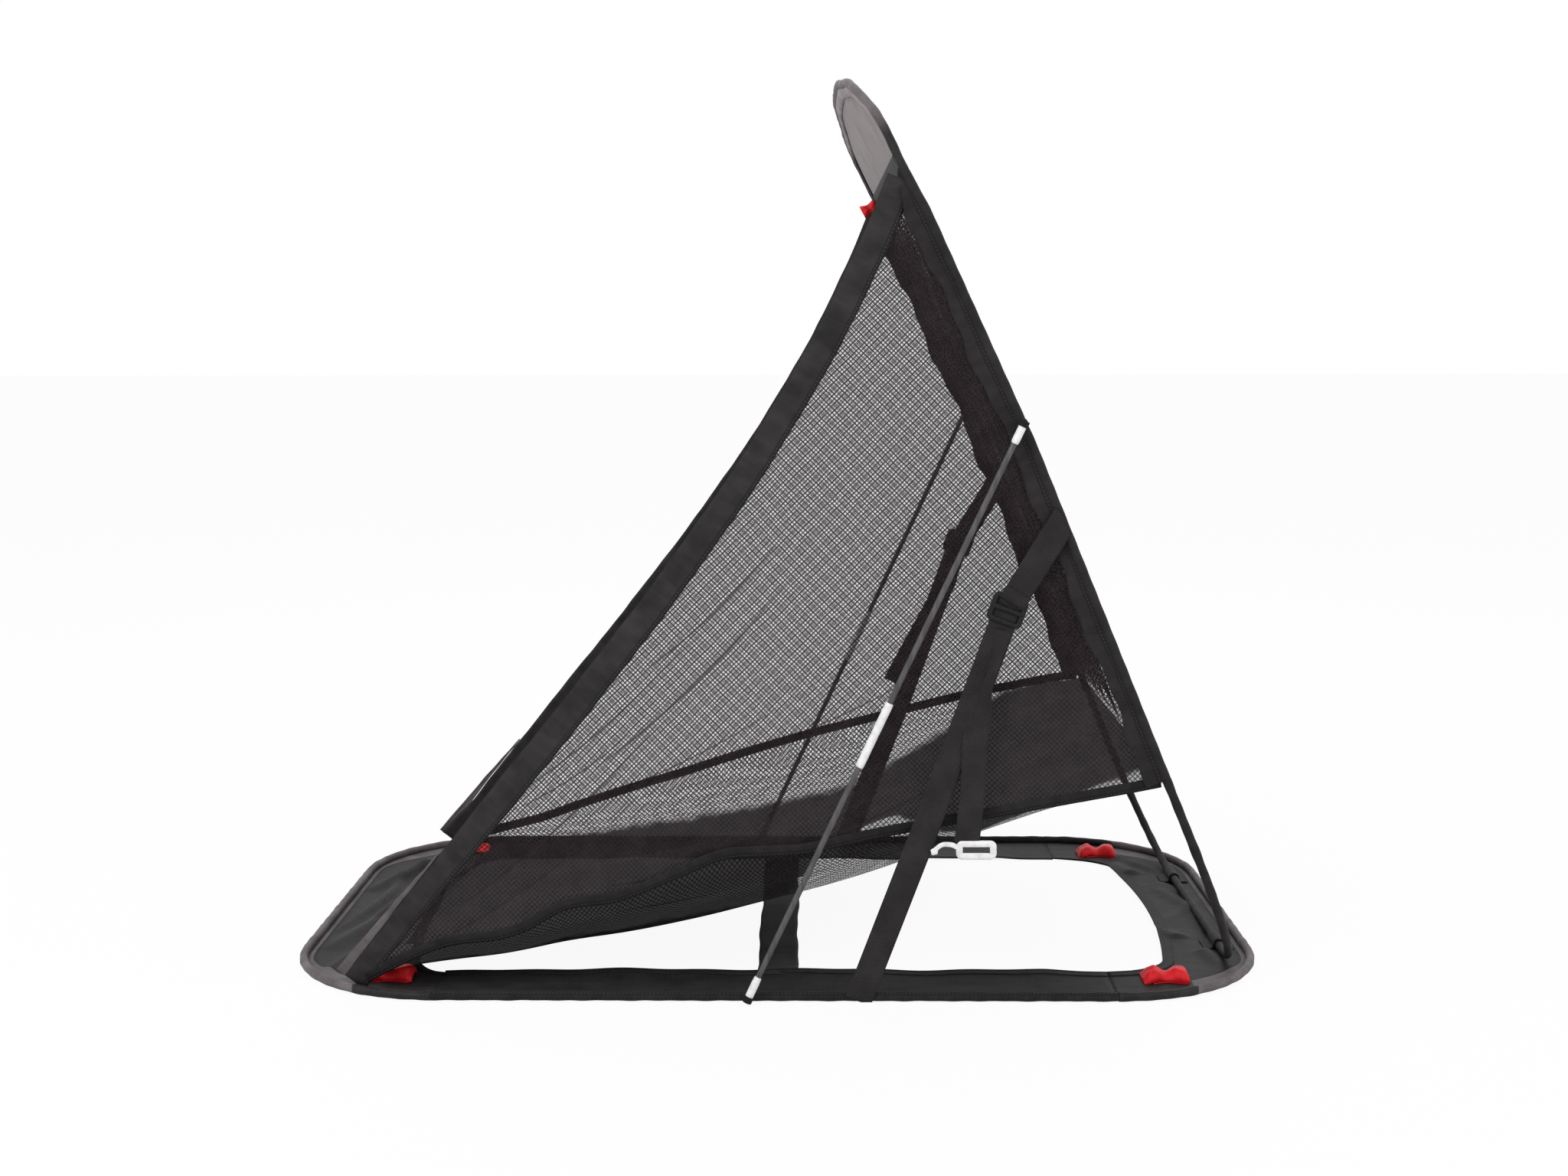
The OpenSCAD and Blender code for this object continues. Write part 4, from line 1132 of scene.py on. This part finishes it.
for name, s in SIDES:
    body = f"strap_{name}"
    line = [STRAP_TOP - 6 * STRAP_DIR, STRAP_TOP + 20 * STRAP_DIR, BUCKLE - STRAP_DIR]
    up_strap, grid = strap(
        f"hoop_strap_{name}", line, s, 25, (STRAP_Y + 0.3, STRAP_Y, STRAP_Y + 0.1), body,
        f"strap_up_{name}", cut=(hoop_front, HINGE @ hoop_front - 1.8, STRAP_DIR),
    )
    # the turn of webbing that holds the buckle's upper bar
    line = [BUCKLE - t * STRAP_DIR for t in (19, 14, 7)]
    turned, grid = strap(
        f"buckle_turn_{name}", line, s, 24.5, (STRAP_Y + 1.4, BUCKLE_Y + 2.1, BUCKLE_Y + 0.6),
        body, None,
    )

    # the buckle: a frame and a middle bar
    along = -LOW_DIR
    across = np.array([-along[1], along[0]])
    frame_line = link(-8.5, 8.5, 11.5, 3, 6)
    line = [at_y(BUCKLE + a * along + b * across, s * BUCKLE_Y) for a, b in frame_line]
    surface(
        f"buckle_frame_{name}", closed(line, (0, s, 0), oval(1.2, 2.4)), plastic, body,
        f"buckle_{name}", wrap=(True, True),
    )
    line = [at_y(BUCKLE + b * across, s * BUCKLE_Y) for b in np.linspace(-14, 14, 8)]
    surface(
        f"buckle_bar_{name}", swept(line, (0, s, 0), oval(1.2, 2.3)), plastic, body, None,
        wrap=(False, True),
    )

    line = [BUCKLE - 10 * LOW_DIR, BUCKLE + 60 * LOW_DIR + (0.8, 0),
            BUCKLE + 220 * LOW_DIR + (1.6, 0), STRAP_FOOT]
    low_strap, grid = strap(
        f"base_strap_{name}", line, s, 25, (STRAP_Y, STRAP_Y), "base", f"strap_low_{name}",
        twist=(0.0, 0.03, -0.02, 0.03, 0.0), cut=(np.array([0.0, 1.0]), 1.0, -LOW_DIR),
    )
    flatten(low_strap)

# the loose ends: the left one twists and carries the hook, the right one lies along its strap
HOOK_X, HOOK_Z = BUCKLE[0] - 40, 144.0
left_route = [BUCKLE + p for p in ((-8, -18), (-14, -46), (-22, -75), (-30, -125))]
left_route += [np.array([BUCKLE[0] - 31, 200.0]), np.array([HOOK_X + 3, HOOK_Z + 4.5])]
right_route = [BUCKLE + p for p in ((-8, -18), (-14, -48), (-80, -170))]
left_twist = (0.3, 0.9, 1.15, 0.8, 0.25, 0.05, -0.05, 0.0, 0.0, 0.0)
for name, s, route, out, twist in (
    ("left", -1, left_route, (0.4, 1, 1.2, 0.6, 0.4, 0.6), left_twist),
    ("right", 1, right_route, (0.4, 0.8, 0.5), (0.1, 0.2, 0.1, -0.1, 0.05)),
):
    tail, grid = strap(
        f"loose_end_{name}", route, s, 23, [TAIL_Y + y for y in out], "base", f"tail_{name}", twist
    )
    flatten(tail)

# ---- tail hook ----
# A moulded white hook on the loose end: a slotted bar for the webbing and an open arm that
# clips the bundle shut when the net is packed.


def at_hook(line):
    return np.array([(HOOK_X + x, -(TAIL_Y + 0.8), HOOK_Z + z) for x, z in line])


arm = smoothed(spaced([(-3, 1.5), (-10, 5.0), (-19, 5.5), (-25, 1.5), (-28.5, -4.5)], 1.5), 4)
count = len(arm)
taper = np.interp(np.arange(count), (0, count * 0.75, count - 3, count - 1), (1.0, 0.8, 1.5, 0.3))
rows = swept(at_hook(arm), (0, -1, 0), taper[:, None, None] * oval(1.0, 2.6))
surface("hook_arm", rows, white, "hook", None, wrap=(False, True))
rows = closed(at_hook(link(-1, 25, 3.2, 2.6, 7)), (0, -1, 0), oval(1.3, 3.1))
surface("hook_bar", rows, white, "hook", "tail_hook", wrap=(True, True))

# ---- studio ----
# A plain pale floor that runs out of sight, one broad key lamp above the camera's left, a weak
# fill from the right, and an even white surround.
mesh = bpy.data.meshes.new("floor")
far, below = 30, -0.0005
corners = [(-far, -far, below), (far, -far, below), (far, far, below), (-far, far, below)]
mesh.from_pydata(corners, [], [(0, 1, 2, 3)])
added("floor", mesh)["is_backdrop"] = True
pale = Finish("pale_floor", (0.86, 0.86, 0.86), 0.9)
white_light = pale.node("ShaderNodeEmission", None, {"Color": (1, 1, 1, 1), "Strength": 1.0})
seen = pale.node("ShaderNodeLightPath")
lit = Value(pale, pale.shader.outputs[0])
mixed = pale.node("ShaderNodeMixShader", None, [seen * 0.93, lit, white_light])
pale.plug(pale.tree.nodes["Material Output"].inputs["Surface"], mixed)
mesh.materials.append(pale.material)

world = bpy.data.worlds.new("studio")
bpy.context.scene.world = world
sky = Nodes(world)
# the camera, mirrors and clear things see a brighter white than the one that lights the net
rays = (f"Is {kind} Ray" for kind in ("Camera", "Glossy", "Transmission"))
seen, glossy, clear = (sky.node("ShaderNodeLightPath", out=ray) for ray in rays)
seen = seen.maths("MAXIMUM", glossy).maths("MAXIMUM", clear)
surround, backdrop = (
    sky.node("ShaderNodeBackground", None, {"Color": (1, 1, 1, 1), "Strength": strength})
    for strength in (0.75, 1.0)
)
both = sky.node("ShaderNodeMixShader", None, [seen, surround, backdrop])
sky.plug(sky.tree.nodes["World Output"].inputs["Surface"], both)

for name, place, size, power in (
    ("key", (-1.6, -2.2, 2.6), 1.6, 42),
    ("fill", (2.4, -1.4, 1.6), 2.0, 14),
    ("back", (0.3, 2.2, 2.4), 2.0, 16),
):
    lamp = added(name, bpy.data.lights.new(name, "AREA"))
    lamp.data.energy, lamp.data.size = power, size
    lamp.location = place
    lamp.rotation_euler = (Vector((0, 0, 0.3)) - Vector(place)).to_track_quat("-Z", "Y").to_euler()
bpy.context.scene.view_settings.view_transform = "Standard"

low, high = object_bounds()
